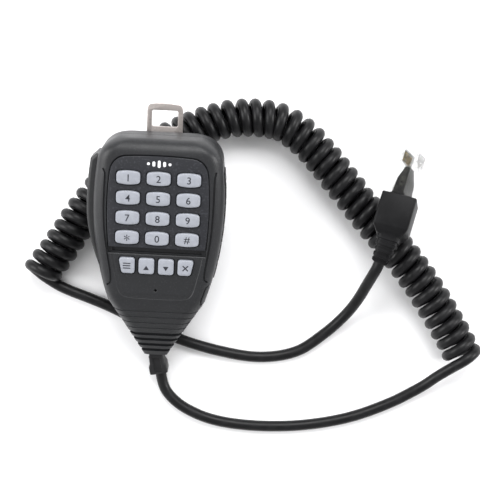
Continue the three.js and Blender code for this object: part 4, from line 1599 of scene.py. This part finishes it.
@dataclass
class RearCase:
    """The back shell, with its screw wells and the hanger's seat."""

    well_radius: float = 2.6
    well_depth: float = 2.3
    well_chamfer: float = 0.3
    post: float = 3.2
    hanger_post: float = 3
    hanger_post_top: float = -5.6
    hanger_shaft_top: float = -6.9
    boss_top: float = -6.6
    inside: float = -11
    pin_span: Point2 = (-8.4, -5)
    border: tuple[float, float, float, int, Point2] = (14, 9, 2, 6, (0, 6))
    border_half: float = 0.25
    border_span: Point2 = (-13, -11.75)
    below: float = -20

    def posts(self, faces: Sequence[float]) -> list[Workpiece]:
        """Posts for the case's and the hanger's screws, and the pin's boss.

        Args:
            faces: The back's height at each case screw.

        Returns:
            The posts.
        """
        posts = [Workpiece.rod("post", self.post, at, -face + 0.8, -GAP / 2, 24)
                 for at, face in zip(CASE_SCREWS, faces)]
        posts += [Workpiece.rod("post", self.hanger_post, at, self.inside, self.hanger_post_top, 24)
                  for at in HANGER_SCREWS]
        return posts + [Workpiece.rod("boss", BOSS, PIVOT, self.inside, self.boss_top, 24)]

    def shafts(self) -> list[Workpiece]:
        """Cutters for every screw's shaft and the pin's foot.

        Returns:
            The cutters.
        """
        shafts = [Workpiece.rod("shaft", SCREW_HOLE, at, self.below, 1, 20) for at in CASE_SCREWS]
        shafts += [Workpiece.rod("shaft", HANGER_HOLE, at, self.below, self.hanger_shaft_top, 20)
                   for at in HANGER_SCREWS]
        return shafts + [Workpiece.rod("shaft", PIN_HOLE, PIVOT, *self.pin_span, 20)]

    def make(self) -> None:
        """The hollow shell, its posts, then its wells, holes and engraved border."""
        shell = SHAPE.shell("rear_shell", False)
        shell.meet(Meeting.CUT, Workpiece.block("opening", *BAR_OPENING))
        faces = [SHAPE.height(y, False) if y < SHAPE.back_slope else SHAPE.back_height
                 for _, y in CASE_SCREWS]
        for post in self.posts(faces):
            shell.meet(Meeting.ADD, post)
        wells = []
        for (x, y), face in zip(CASE_SCREWS, faces):
            ring = circle((0, 0), self.well_radius, 36)
            well = flared("well", ring, -self.well_depth, 0, self.well_chamfer).turn(180, "X")
            wells.append(well.shift(x, y, -face))
        shell.meet(Meeting.CUT, *wells)
        shell.meet(Meeting.CUT, *self.shafts())
        edge, (low, high) = rounded(*self.border), self.border_span
        outer = Workpiece.slab("border", grown(edge, self.border_half), low, high)
        inner = Workpiece.slab("border", grown(edge, -self.border_half), low - 0.2, high + 0.05)
        shell.meet(Meeting.CUT, outer.meet(Meeting.CUT, inner))
        shell.meet(Meeting.CUT, *seats())
        shell.deliver(MIC_PLACE, CASE_PLASTIC, HOUSING, "case_plastic", "rear_case", angle=28)


# ---- keypad


@dataclass
class Keypad:
    """The trim panel, the sixteen keys and their legends."""

    foot: float = 9.5
    flange_top: float = 10.3
    flange_margin: float = 0.75
    top: float = 15.1
    rim: float = 0.5
    dome: tuple[Point2, ...] = ((0.86, 0.07), (0.78, 0.045))
    dome_height: float = 0.62
    panel_foot: float = 12.4
    panel_rim: float = 0.4
    panel_chamfer: float = 0.22
    legend_size: float = 4.4
    star_share: float = 1.4
    ink: float = 0.03
    bar_heights: tuple[float, ...] = (1.2, 2.2, 3.2, 2.2, 1.2)
    bar_half: float = 0.62
    bar_pitch: float = 2.3
    badge_row: float = 40.0

    def panel(self) -> None:
        """The trim panel: a crowned rim and twelve chamfered windows."""
        front, rim = FrontCase(), self.panel_rim
        outline = front.outline(0, front.panel_low)
        blank = Workpiece.slab("trim_panel", outline, self.panel_foot, SHAPE.front_height - rim)
        panel = crowned(blank, rim, 3)
        panel.meet(Meeting.CUT, *KEYS.windows(11, SHAPE.front_height, self.panel_chamfer, False))
        panel.deliver(MIC_PLACE, PANEL_PLASTIC, HOUSING, "panel_plastic", "keypad_panel", angle=30)

    def badge(self) -> None:
        """A plain level mark of five bars, in place of a name."""
        bars = []
        for at, high in enumerate(self.bar_heights):
            ring = rounded(self.bar_half, high / 2, 0.55, 4, ((at - 2) * self.bar_pitch, self.badge_row))
            bars.append(Workpiece.slab("bar", ring, SHAPE.front_height - 0.05, SHAPE.front_height + self.ink))
        mark = Workpiece.gather("level_mark", bars)
        mark.deliver(MIC_PLACE, BADGE_PAINT, HOUSING, "panel_plastic")

    def cap(self, name: str, outline: Sequence[Point2], width: float, height: float) -> Workpiece:
        """One key about its own middle: a flange, a stem and a softly domed top.

        Args:
            name: The key's name.
            outline: The stem's outline.
            width: The stem's width.
            height: The stem's height.

        Returns:
            The key.
        """
        stem = Workpiece.slab(name, outline, self.foot + 0.2, self.top - self.dome_height)
        key = crowned(stem, self.rim, 4)
        with key.editing():
            key.pick(lambda middle, normal: normal.z > 0.99 and middle.z > self.foot + 3)
            for share, lift in self.dome:
                bpy.ops.mesh.extrude_region_move(TRANSFORM_OT_translate={"value": (0, 0, lift)})
                bpy.ops.transform.resize(value=(share, share, 1), center_override=(0, 0, 0))
        half, rise = width / 2 + self.flange_margin, height / 2 + self.flange_margin
        flange = Workpiece.block("flange", (-half, -rise, self.foot), (half, rise, self.flange_top))
        return key.meet(Meeting.ADD, flange)

    def legend(self, text: str) -> Workpiece:
        """A printed figure about its own middle.

        Args:
            text: The figure.

        Returns:
            The legend.
        """
        deselect()
        bpy.ops.object.text_add(location=(0, 0, 0))
        data = bpy.context.object.data
        data.body = text
        data.size = self.legend_size * (self.star_share if text == "*" else 1)
        data.extrude = self.ink
        data.offset = 0.02
        data.resolution_u = 6
        bpy.ops.object.convert(target="MESH")
        piece = Workpiece("legend")
        xs, ys = ([vertex.co[axis] for vertex in piece.obj.data.vertices] for axis in (0, 1))
        return piece.shift(-(min(xs) + max(xs)) / 2, -(min(ys) + max(ys)) / 2, 0)

    def sign(self, name: str) -> Workpiece:
        """A function key's plain sign: bars, an arrow up or down, or a cross.

        Args:
            name: The key's node.

        Returns:
            The sign about its own middle.
        """
        low, high, arm = -self.ink, self.ink, 1.7
        if name == "key_menu":
            bars = [Workpiece.slab("bar", rounded(arm, 0.24, 0.2, 3, (0, y)), low, high)
                    for y in (-1.1, 0, 1.1)]
            return Workpiece.gather("sign", bars)
        if name == "key_exit":
            one, other = (Workpiece.slab("arm", rounded(arm, 0.26, 0.2, 3), low, high).turn(turn, "Z")
                          for turn in (45, -45))
            return one.meet(Meeting.ADD, other)
        tip = 1 if name == "key_up" else -1
        corners = [(-1.25, -0.95 * tip), (1.25, -0.95 * tip), (0, 1.05 * tip)]
        return Workpiece.slab("arrow", corners[::tip], low, high).shift(0, -0.6, 0)

    def key(self, node: str, cap: Workpiece, ink: Workpiece, place: Point3) -> None:
        """Puts a finished cap and its legend on the key's body.

        Args:
            node: The key's node.
            cap: Its cap, in its place.
            ink: Its legend, about its own middle.
            place: The legend's place.
        """
        cap.deliver(MIC_PLACE, KEY_SILICONE, node, "key_silicone", node)
        ink.shift(*place).obj.name = f"{node}_legend"
        ink.deliver(MIC_PLACE, LEGEND_INK, node, "key_silicone")

    def keys(self) -> None:
        """The keys, with legends on top; the number key is modelled once and copied."""
        number = self.cap("number_key", KEYS.barrel(), KEYS.width, KEYS.height)
        crest = max(vertex.co.z for vertex in number.obj.data.vertices)
        for node, text, x, y in KEYS.numbers():
            self.key(node, number.copy(f"{node}_cap", (x, y, 0)), self.legend(text), (x, y, crest))
        bpy.data.objects.remove(number.obj)
        for node, x, y, left, right in KEYS.menus():
            cap = self.cap(f"{node}_cap", KEYS.square(0, left, right), KEYS.menu_width, KEYS.menu_height)
            self.key(node, cap.shift(x, y, 0), self.sign(node), (x, y, crest))

    def make(self) -> None:
        """Panel, mark and keys."""
        self.panel()
        self.badge()
        self.keys()


# ---- talk bar and grip


@dataclass
class TalkBar:
    """The push-to-talk bar, hinged at its foot."""

    inner: float = -24.3
    low: float = -6.0
    high: float = 7.0
    foot: float = -9.0
    top: float = 41.8
    bulge: float = 3.3
    corner: Point2 = (2.6, 2.4)
    rim: float = 1.7
    lug: float = 2.1
    nub: tuple[Point3, Point3] = ((-24.8, 15.5, 1), (-22.1, 18.5, 3))
    flange: tuple[Point3, Point3] = ((-24.7, 26, -7.1), (-23.6, 34, 8.1))
    straight_from: float = 39

    def outer(self, y: float) -> float:
        """Where its outer side is.

        Args:
            y: Where along the bar.

        Returns:
            The side's place in x.
        """
        along = (y - self.foot) / (self.top - self.foot)
        bow = self.bulge * math.sin(math.pi * min(0.5, along * 0.9 + 0.05))
        return -SHAPE.half_width(min(y, self.straight_from)) - bow

    def make(self) -> None:
        """The bar with rounded outer rims, its lug, nub and flange, bored for the pin."""
        high_end = self.top - self.corner[1]
        places = [high_end + (self.foot - high_end) * step / 40 for step in range(41)]
        shoulder = (self.outer(self.top) + self.corner[0], self.top)
        outline = [(self.inner, self.foot), (self.inner, self.top), shoulder]
        outline += [(self.outer(y), y) for y in places]
        bar = Workpiece.slab("press_bar", outline, self.low, self.high)
        with bar.editing("EDGE"):
            bar.pick(lambda a, b: abs(a.z - b.z) < 0.01 and max(a.x, b.x) < self.inner - 1.2
                     and min(a.y, b.y) > self.foot - 1, edges=True)
            bpy.ops.mesh.bevel(offset=self.rim, segments=5, affect="EDGES", clamp_overlap=True)
        bar.meet(Meeting.ADD, Workpiece.rod("lug", self.lug, PIVOT, self.low + 0.01, self.high - 0.01, 32))
        for name, corners in (("nub", self.nub), ("flange", self.flange)):
            bar.meet(Meeting.ADD, Workpiece.block(name, *corners))
        bar.meet(Meeting.CUT, Workpiece.rod("bore", PIN_HOLE, PIVOT, -10, 10, 24))
        bar.deliver(MIC_PLACE, BAR_PLASTIC, "talk_bar", "bar_plastic", "talk_bar", angle=32)


@dataclass
class SideGrip:
    """The soft strip in the right side, with finger slots."""

    inner: float = 0.9
    outer: float = 0.5
    low: float = -5.5
    high: float = 6.5
    slots: tuple[float, ...] = (29.5, 21.0, 12.5, 4.0, -4.5)
    slot_half: float = 0.55
    slot_depth: float = 0.55
    rounding: float = 0.22

    def make(self) -> None:
        """The strip, slotted and softened."""
        strip = SHAPE.strip(1, *GRIP_SPAN, self.inner, self.outer, 36)
        grip = Workpiece.slab("finger_grip", strip, self.low, self.high)
        cutters = []
        for y in self.slots:
            edge = SHAPE.half_width(y) + self.outer - self.slot_depth
            cutters.append(Workpiece.block("slot", (edge, y - self.slot_half, -9),
                                           (edge + 3, y + self.slot_half, 9)))
        grip.meet(Meeting.CUT, *cutters)
        grip.soften(self.rounding, 2, 45)
        grip.deliver(MIC_PLACE, GRIP_RUBBER, HOUSING, "grip_rubber", "side_grip", angle=30)


# ---- hanger and screws


@dataclass
class Hanger:
    """The pressed plate behind the case that the microphone hangs by."""

    half: float = 8.0
    foot: float = 24.0
    top: float = 61.6
    crown: float = 0.5
    corner: float = 3.0
    low: float = -13.5
    high: float = -12.3
    window_half: float = 5.8
    window_low: float = 51.4
    window_high: float = 58.7
    window_corner: float = 0.8
    rounding: float = 0.22

    def make(self) -> None:
        """The plate with its window and screw holes, edges broken."""
        half, top, corner = self.half, self.top, self.corner
        outline = through_stretches(
            (half, self.foot), ((half, 40), (half, top - corner), 1), ((half, top), (half - corner, top), 8),
            ((0, top + self.crown), (-half + corner, top), 10), ((-half, top), (-half, top - corner), 8))
        plate = Workpiece.slab("hanging_plate", [(-half, self.foot), *outline], self.low, self.high)
        middle = (0.0, (self.window_low + self.window_high) / 2)
        rise = (self.window_high - self.window_low) / 2
        ring = rounded(self.window_half, rise, self.window_corner, 4, middle)
        holes = [Workpiece.rod("hole", HANGER_HOLE, at, -20, -10, 32) for at in HANGER_SCREWS]
        plate.meet(Meeting.CUT, Workpiece.slab("window", ring, -20, -10), *holes)
        plate.soften(self.rounding, 3, 50)
        plate.deliver(MIC_PLACE, HANGER_STEEL, HOUSING, "hanger_steel", "hanger_plate", angle=30)


@dataclass(frozen=True)
class ScrewSize:
    """A screw's head, shaft and driver slots."""

    head: float
    thick: float
    shaft: float
    length: float
    slots: tuple[int, ...]


@dataclass
class Fasteners:
    """Case screws and hanger screws, one of each modelled and the rest copied."""

    case: ScrewSize = ScrewSize(2.3, 1.6, 1.2, 15.4, (45, -45))
    hanger: ScrewSize = ScrewSize(2.5, 1.4, 1.25, 8.0, (20,))
    case_sunk: float = 0.4
    hanger_face: float = -15.2
    recess: float = 0.55
    slot_half: float = 0.28
    slot_share: float = 0.72
    rounding: float = 0.45
    thread_step: float = 0.3
    thread_depth: float = 0.18

    def screw(self, name: str, size: ScrewSize) -> Workpiece:
        """A round-headed screw with its head's outer face at nought, pointing up.

        Args:
            name: The screw's name.
            size: Its sizes.

        Returns:
            The screw.
        """
        thick, step = size.thick, self.thread_step
        screw = crowned(Workpiece.rod(name, size.head, (0, 0), thick * self.rounding, thick, 40), 0.01, 1)
        crowned(screw, thick * self.rounding, 4, -1)
        radii = (size.shaft, size.shaft - self.thread_depth)
        rings = [(circle((0, 0), radii[at % 2], 24), thick - 0.2 + at * step)
                 for at in range(int((size.length - thick) / step))]
        screw.meet(Meeting.ADD, Workpiece.skin("thread", [[(x, y, z) for x, y in ring] for ring, z in rings]))
        reach, half = size.head * self.slot_share, self.slot_half
        for angle in size.slots:
            slot = Workpiece.block("slot", (-reach, -half, -1), (reach, half, self.recess))
            screw.meet(Meeting.CUT, slot.turn(angle, "Z"))
        return screw

    def make(self) -> None:
        """Four case screws and two hanger screws."""
        case_spots = [(x, y, self.case_sunk - SHAPE.height(y, False)) for x, y in CASE_SCREWS]
        hanger_spots = [(x, y, self.hanger_face) for x, y in HANGER_SCREWS]
        for kind, size, spots in (("case_screw", self.case, case_spots),
                                  ("hanger_screw", self.hanger, hanger_spots)):
            screw = self.screw(kind, size)
            for at, spot in enumerate(spots, 1):
                copy = screw.copy(f"{kind}_piece_{at}", spot)
                copy.deliver(MIC_PLACE, SCREW_STEEL, HOUSING, "screw_steel", f"{kind}_{at}")
            bpy.data.objects.remove(screw.obj)


# ---- strain relief


def ring_at(y: float, half_x: float, half_z: float, radius: float, middle: Point2 = (0, 0)) -> list[Point3]:
    """A round-cornered ring across the y axis, about a middle in x and z."""
    return [(x, y, z) for x, z in rounded(half_x, half_z, radius, 4, middle)]


@dataclass
class StrainRelief:
    """The rubber sleeve that holds the cord at the neck."""

    half: float = 4.15
    waist: float = 3.3
    low: float = -8.0
    high: float = 0.6
    corner: float = 0.7
    bore: float = 2.78
    rounding: float = 0.2
    panel_half: float = 1.75
    panel_depth: float = 1.1
    root: tuple[Point3, Point3] = ((-3, -54.0, -4.9), (3, -47, 0.55))
    flange: tuple[Point3, Point3] = ((-4.3, -47.3, -3.9), (4.3, -45.6, 0.6))

    def make(self) -> None:
        """A waisted block with a sunk front panel, leaned over and rooted in the neck."""
        tall, middle = (self.high - self.low) / 2, (0.0, (self.high + self.low) / 2)
        exit_x, end, exit_z = SLEEVE_MOUTH
        levels = ((0.4, self.waist, 0.5), (-1.0, self.waist, 0.3), (-3.4, self.waist + 0.15, 0.15),
                  (-4.6, self.half - 0.1, 0.05), (-5.2, self.half, 0), (-8.2, self.half, 0),
                  (end, self.half - 0.35, 0.35))
        rings = [ring_at(y, half, tall - cut, self.corner, middle) for y, half, cut in levels]
        block = Workpiece.skin("cord_sleeve", rings)
        panel = Workpiece.block("panel", (-self.panel_half, -7.7, self.high - self.panel_depth),
                                (self.panel_half, -0.4, 3))
        bore = Workpiece.rod("bore", self.bore, (0, 0), -2, 2, 32).turn(90, "X").shift(exit_x, end, exit_z)
        block.meet(Meeting.CUT, panel, bore)
        block.soften(self.rounding, 2, 50)
        block.turn(SLEEVE_LEAN, "Z").shift(0, SLEEVE_DROP, 0)
        for name, corners in (("root", self.root), ("flange", self.flange)):
            block.meet(Meeting.ADD, Workpiece.block(name, *corners))
        block.deliver(MIC_PLACE, SLEEVE_RUBBER, HOUSING, "sleeve_rubber", "strain_relief", angle=34)


# ---- plug


@dataclass
class PlugEnd:
    """The plug: rubber boot, black wedge, clear shell and its latch."""

    boot_half: Point2 = (7.9, 7.4)
    mouth: tuple[Point3, Point3] = ((-6.7, 12.5, -6.2), (6.7, 19.5, 6.2))
    tail_start: float = -0.4
    tail_run: float = 10.6
    tail_half: Point2 = (5.2, 3.6)
    swing: float = 1.2
    drop: float = 3.0
    tail_ribs: tuple[float, ...] = (0.20, 0.42, 0.64, 0.86)
    rib_form: tuple[Point2, ...] = ((-0.055, 0), (-0.045, 0.5), (0.035, 0.5), (0.045, 0))
    cord_bore: float = 2.75
    wedge_levels: tuple[Point3, ...] = (
        (33.3, 2.6, 1.05), (33.0, 2.8, 1.2), (27.0, 4.7, 2.35), (19.7, 5.25, 2.8))
    collar: tuple[Point3, Point3] = ((-5.2, 12.8, -3.43), (5.2, 19.7, 3.43))
    dimple: float = 0.55
    dimple_at: Point3 = (-5.3, 24.6, 0.3)
    body: tuple[Point3, Point3] = ((-5.84, 20, -3.3), (5.84, 41.3, 3.3))
    hollow_levels: tuple[Point3, ...] = ((33.5, 2.95, 1.4), (27.0, 4.95, 2.6), (19.0, 5.53, 3.03))
    contact_count: int = 8
    contact_pitch: float = 1.02
    slot_half: float = 0.36
    slot_span: Point2 = (35.0, 40.6)
    slot_heights: Point2 = (-4.3, -2.4)
    carrier_room: tuple[Point3, Point3] = ((-4.8, 35.0, -2.45), (4.8, 40.6, -1.5))
    carrier: tuple[Point3, Point3] = ((-4.5, 35.3, -2.15), (4.5, 40.3, -1.8))
    blade: tuple[Point3, Point3] = ((-0.16, 35.7, -3.05), (0.16, 39.9, -2.1))
    latch_levels: tuple[Point3, ...] = (
        (40.3, 3.1, 4.2), (37.6, 3.1, 4.3), (32.6, 3.1, 5.7), (28.5, 2.1, 6.7), (25.1, 1.6, 7.5))
    latch_half: float = 0.6
    catches: tuple[Point2, ...] = ((36.2, 4.7), (33.4, 5.5))

    def spine(self, share: float) -> tuple[Vector, Vector]:
        """The bent tail's middle and direction.

        Args:
            share: How far along the tail, from 0 to 1.

        Returns:
            The middle and the direction there.
        """
        bent = share**2
        centre = Vector((-self.swing * bent, self.tail_start - self.tail_run * share, -self.drop * bent))
        return centre, Vector((-2 * self.swing * share, -self.tail_run, -2 * self.drop * share)).normalized()

    def tail_ring(self, share: float, sunk: float) -> list[Point3]:
        """A ring round the bent tail.

        Args:
            share: How far along the tail, from 0 to 1.
            sunk: How deep it is drawn in.

        Returns:
            The ring's points.
        """
        centre, way = self.spine(share)
        across = Vector((1, 0, 0))
        across = (across - way * across.dot(way)).normalized()
        up = across.cross(way).normalized()
        wide, narrow = self.tail_half
        half = wide + (narrow - wide) * share - sunk
        return [tuple(centre + across * x + up * z * -1) for x, z in rounded(half, half, half * 0.45, 4)]

    def spots(self) -> list[float]:
        """Each contact's place across the plug."""
        return [(at - (self.contact_count - 1) / 2) * self.contact_pitch for at in range(self.contact_count)]

    def boot(self) -> bpy.types.Object:
        """The boot: chamfered body, ribbed tail, open mouth and the cord's bore.

        Returns:
            The boot's object.
        """
        wide, tall = self.boot_half
        rings = [ring_at(18.5, wide - 0.3, tall - 0.3, 0.8), ring_at(18.15, wide, tall, 1.0),
                 ring_at(3.7, wide, tall, 1.0), ring_at(3.2, wide - 0.25, tall - 0.25, 1.1),
                 ring_at(0.3, 5.9, 5.8, 1.4), self.tail_ring(0.0, 0.0)]
        rings += [self.tail_ring(share + shift, sunk)
                  for share in self.tail_ribs for shift, sunk in self.rib_form]
        rings += [self.tail_ring(0.97, 0.0), self.tail_ring(1.0, 0.3)]
        boot = Workpiece.skin("rubber_boot", rings)
        end, way = self.spine(1)
        bore = Workpiece.rod("bore", self.cord_bore, (0, 0), -2.2, 3, 32)
        bore.carry(Matrix.Translation(end) @ way.to_track_quat("Z", "Y").to_matrix().to_4x4())
        boot.meet(Meeting.CUT, Workpiece.block("mouth", *self.mouth))
        boot.meet(Meeting.CUT, bore)
        return boot.deliver(BOOT_PLACE, BOOT_RUBBER, HOUSING, "boot_rubber", "plug_boot", angle=38)

    def wedge(self) -> bpy.types.Object:
        """The black wedge that grips the cord in the shell, with its collar.

        Returns:
            The wedge's object.
        """
        wedge = Workpiece.skin("cord_wedge", [ring_at(y, x, z, 0.35) for y, x, z in self.wedge_levels])
        wedge.meet(Meeting.ADD, Workpiece.block("collar", *self.collar))
        dimple = Workpiece.rod("dimple", self.dimple, (0, 0), -1, 1, 20).turn(90, "Y")
        wedge.meet(Meeting.CUT, dimple.shift(*self.dimple_at))
        wedge.soften(0.15, 2, 45)
        return wedge.deliver(SHELL_PLACE, INSERT_PLASTIC, HOUSING, "boot_rubber", "crimp_wedge", angle=34)

    def shell(self) -> bpy.types.Object:
        """The clear shell: hollow round the wedge and slotted for eight contacts.

        Returns:
            The shell's object.
        """
        shell = Workpiece.block("clear_shell", *self.body)
        shell.soften(0.3, 3, 50)
        rings = [ring_at(y, x, z, 0.3) for y, x, z in self.hollow_levels]
        shell.meet(Meeting.CUT, Workpiece.skin("hollow", rings))
        (low, high), (under, over), half = self.slot_span, self.slot_heights, self.slot_half
        shell.meet(Meeting.CUT, *[Workpiece.block("slot", (x - half, low, under), (x + half, high, over))
                                  for x in self.spots()])
        shell.meet(Meeting.CUT, Workpiece.block("carrier_room", *self.carrier_room))
        return shell.deliver(SHELL_PLACE, CLEAR, HOUSING, "clear_plastic", "plug_shell", angle=34)

    def latch(self) -> bpy.types.Object:
        """The springy latch, with its two catching shoulders.

        Returns:
            The latch's object.
        """
        rings = [ring_at(y, x, self.latch_half, 0.25, (0, z)) for y, x, z in self.latch_levels]
        latch = Workpiece.skin("spring_latch", rings)
        for y, z in self.catches:
            latch.meet(Meeting.ADD, Workpiece.block("shoulder", (-3.0, y, z - 0.3), (3.0, y + 0.8, z + 0.75)))
        latch.soften(0.12, 2, 45)
        return latch.deliver(SHELL_PLACE, CLEAR, "plug_latch", "clear_plastic", "plug_latch", angle=34)

    def contacts(self) -> list[bpy.types.Object]:
        """A clear carrier and eight gilt blades, one modelled and the rest copied.

        Returns:
            The row of blades and the carrier.
        """
        carrier = Workpiece.block("contact_carrier", *self.carrier)
        carrier.soften(0.08, 1, 50)
        blade = Workpiece.block("contact_blade", *self.blade)
        blade.soften(0.06, 2, 50)
        blades = [blade.copy("blade", (x, 0, 0)) for x in self.spots()]
        bpy.data.objects.remove(blade.obj)
        row = Workpiece.gather("contact_blades", blades)
        return [row.deliver(SHELL_PLACE, GOLD, HOUSING, "contact_gold", "plug_contacts"),
                carrier.deliver(SHELL_PLACE, CLEAR, HOUSING, "clear_plastic", "plug_contacts")]

    def make(self) -> list[bpy.types.Object]:
        """All its pieces."""
        return [self.boot(), self.wedge(), self.shell(), self.latch(), *self.contacts()]


# ---- insides


@dataclass
class Insides:
    """Finishes for the parts that keep their drawn shape."""

    finishes: tuple[tuple[Finish, tuple[str, ...]], ...] = (
        (MAT_SILICONE, ("keypad_mat",)), (BOARD_LAMINATE, ("circuit_board",)),
        (CHIP_RESIN, ("controller_chip",)), (HEADER_NYLON, ("wire_header",)),
        (LED_RESIN, tuple(f"backlight_led_{at}" for at in (1, 2, 3, 4))),
        (CAPSULE_METAL, ("mic_capsule",)), (GRIP_RUBBER, ("capsule_gasket",)),
        (PIN_STEEL, ("talk_bar_pin",)), (SWITCH_PLASTIC, ("talk_switch",)),
        (PLUNGER_PLASTIC, ("switch_plunger",)), (SCREW_STEEL, ("board_screw_1", "board_screw_2")))

    def make(self) -> None:
        """Dresses each node."""
        for finish, names in self.finishes:
            for name in names:
                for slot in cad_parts[name].material_slots:
                    slot.material = CUPBOARD.take(finish)
                log.info("%s: dressed in %s", name, finish.name)


def main() -> None:
    """Builds the object in order and reports each piece."""
    logging.basicConfig(level=logging.INFO, format="%(message)s")
    Studio().make()
    cord = Cord()
    cord.make()
    for part in (FrontCase, RearCase, Keypad, TalkBar, SideGrip, Hanger, Fasteners, StrainRelief):
        part().make()
    PlugEnd().make()
    Insides().make()


if __name__ == "__main__":
    main()
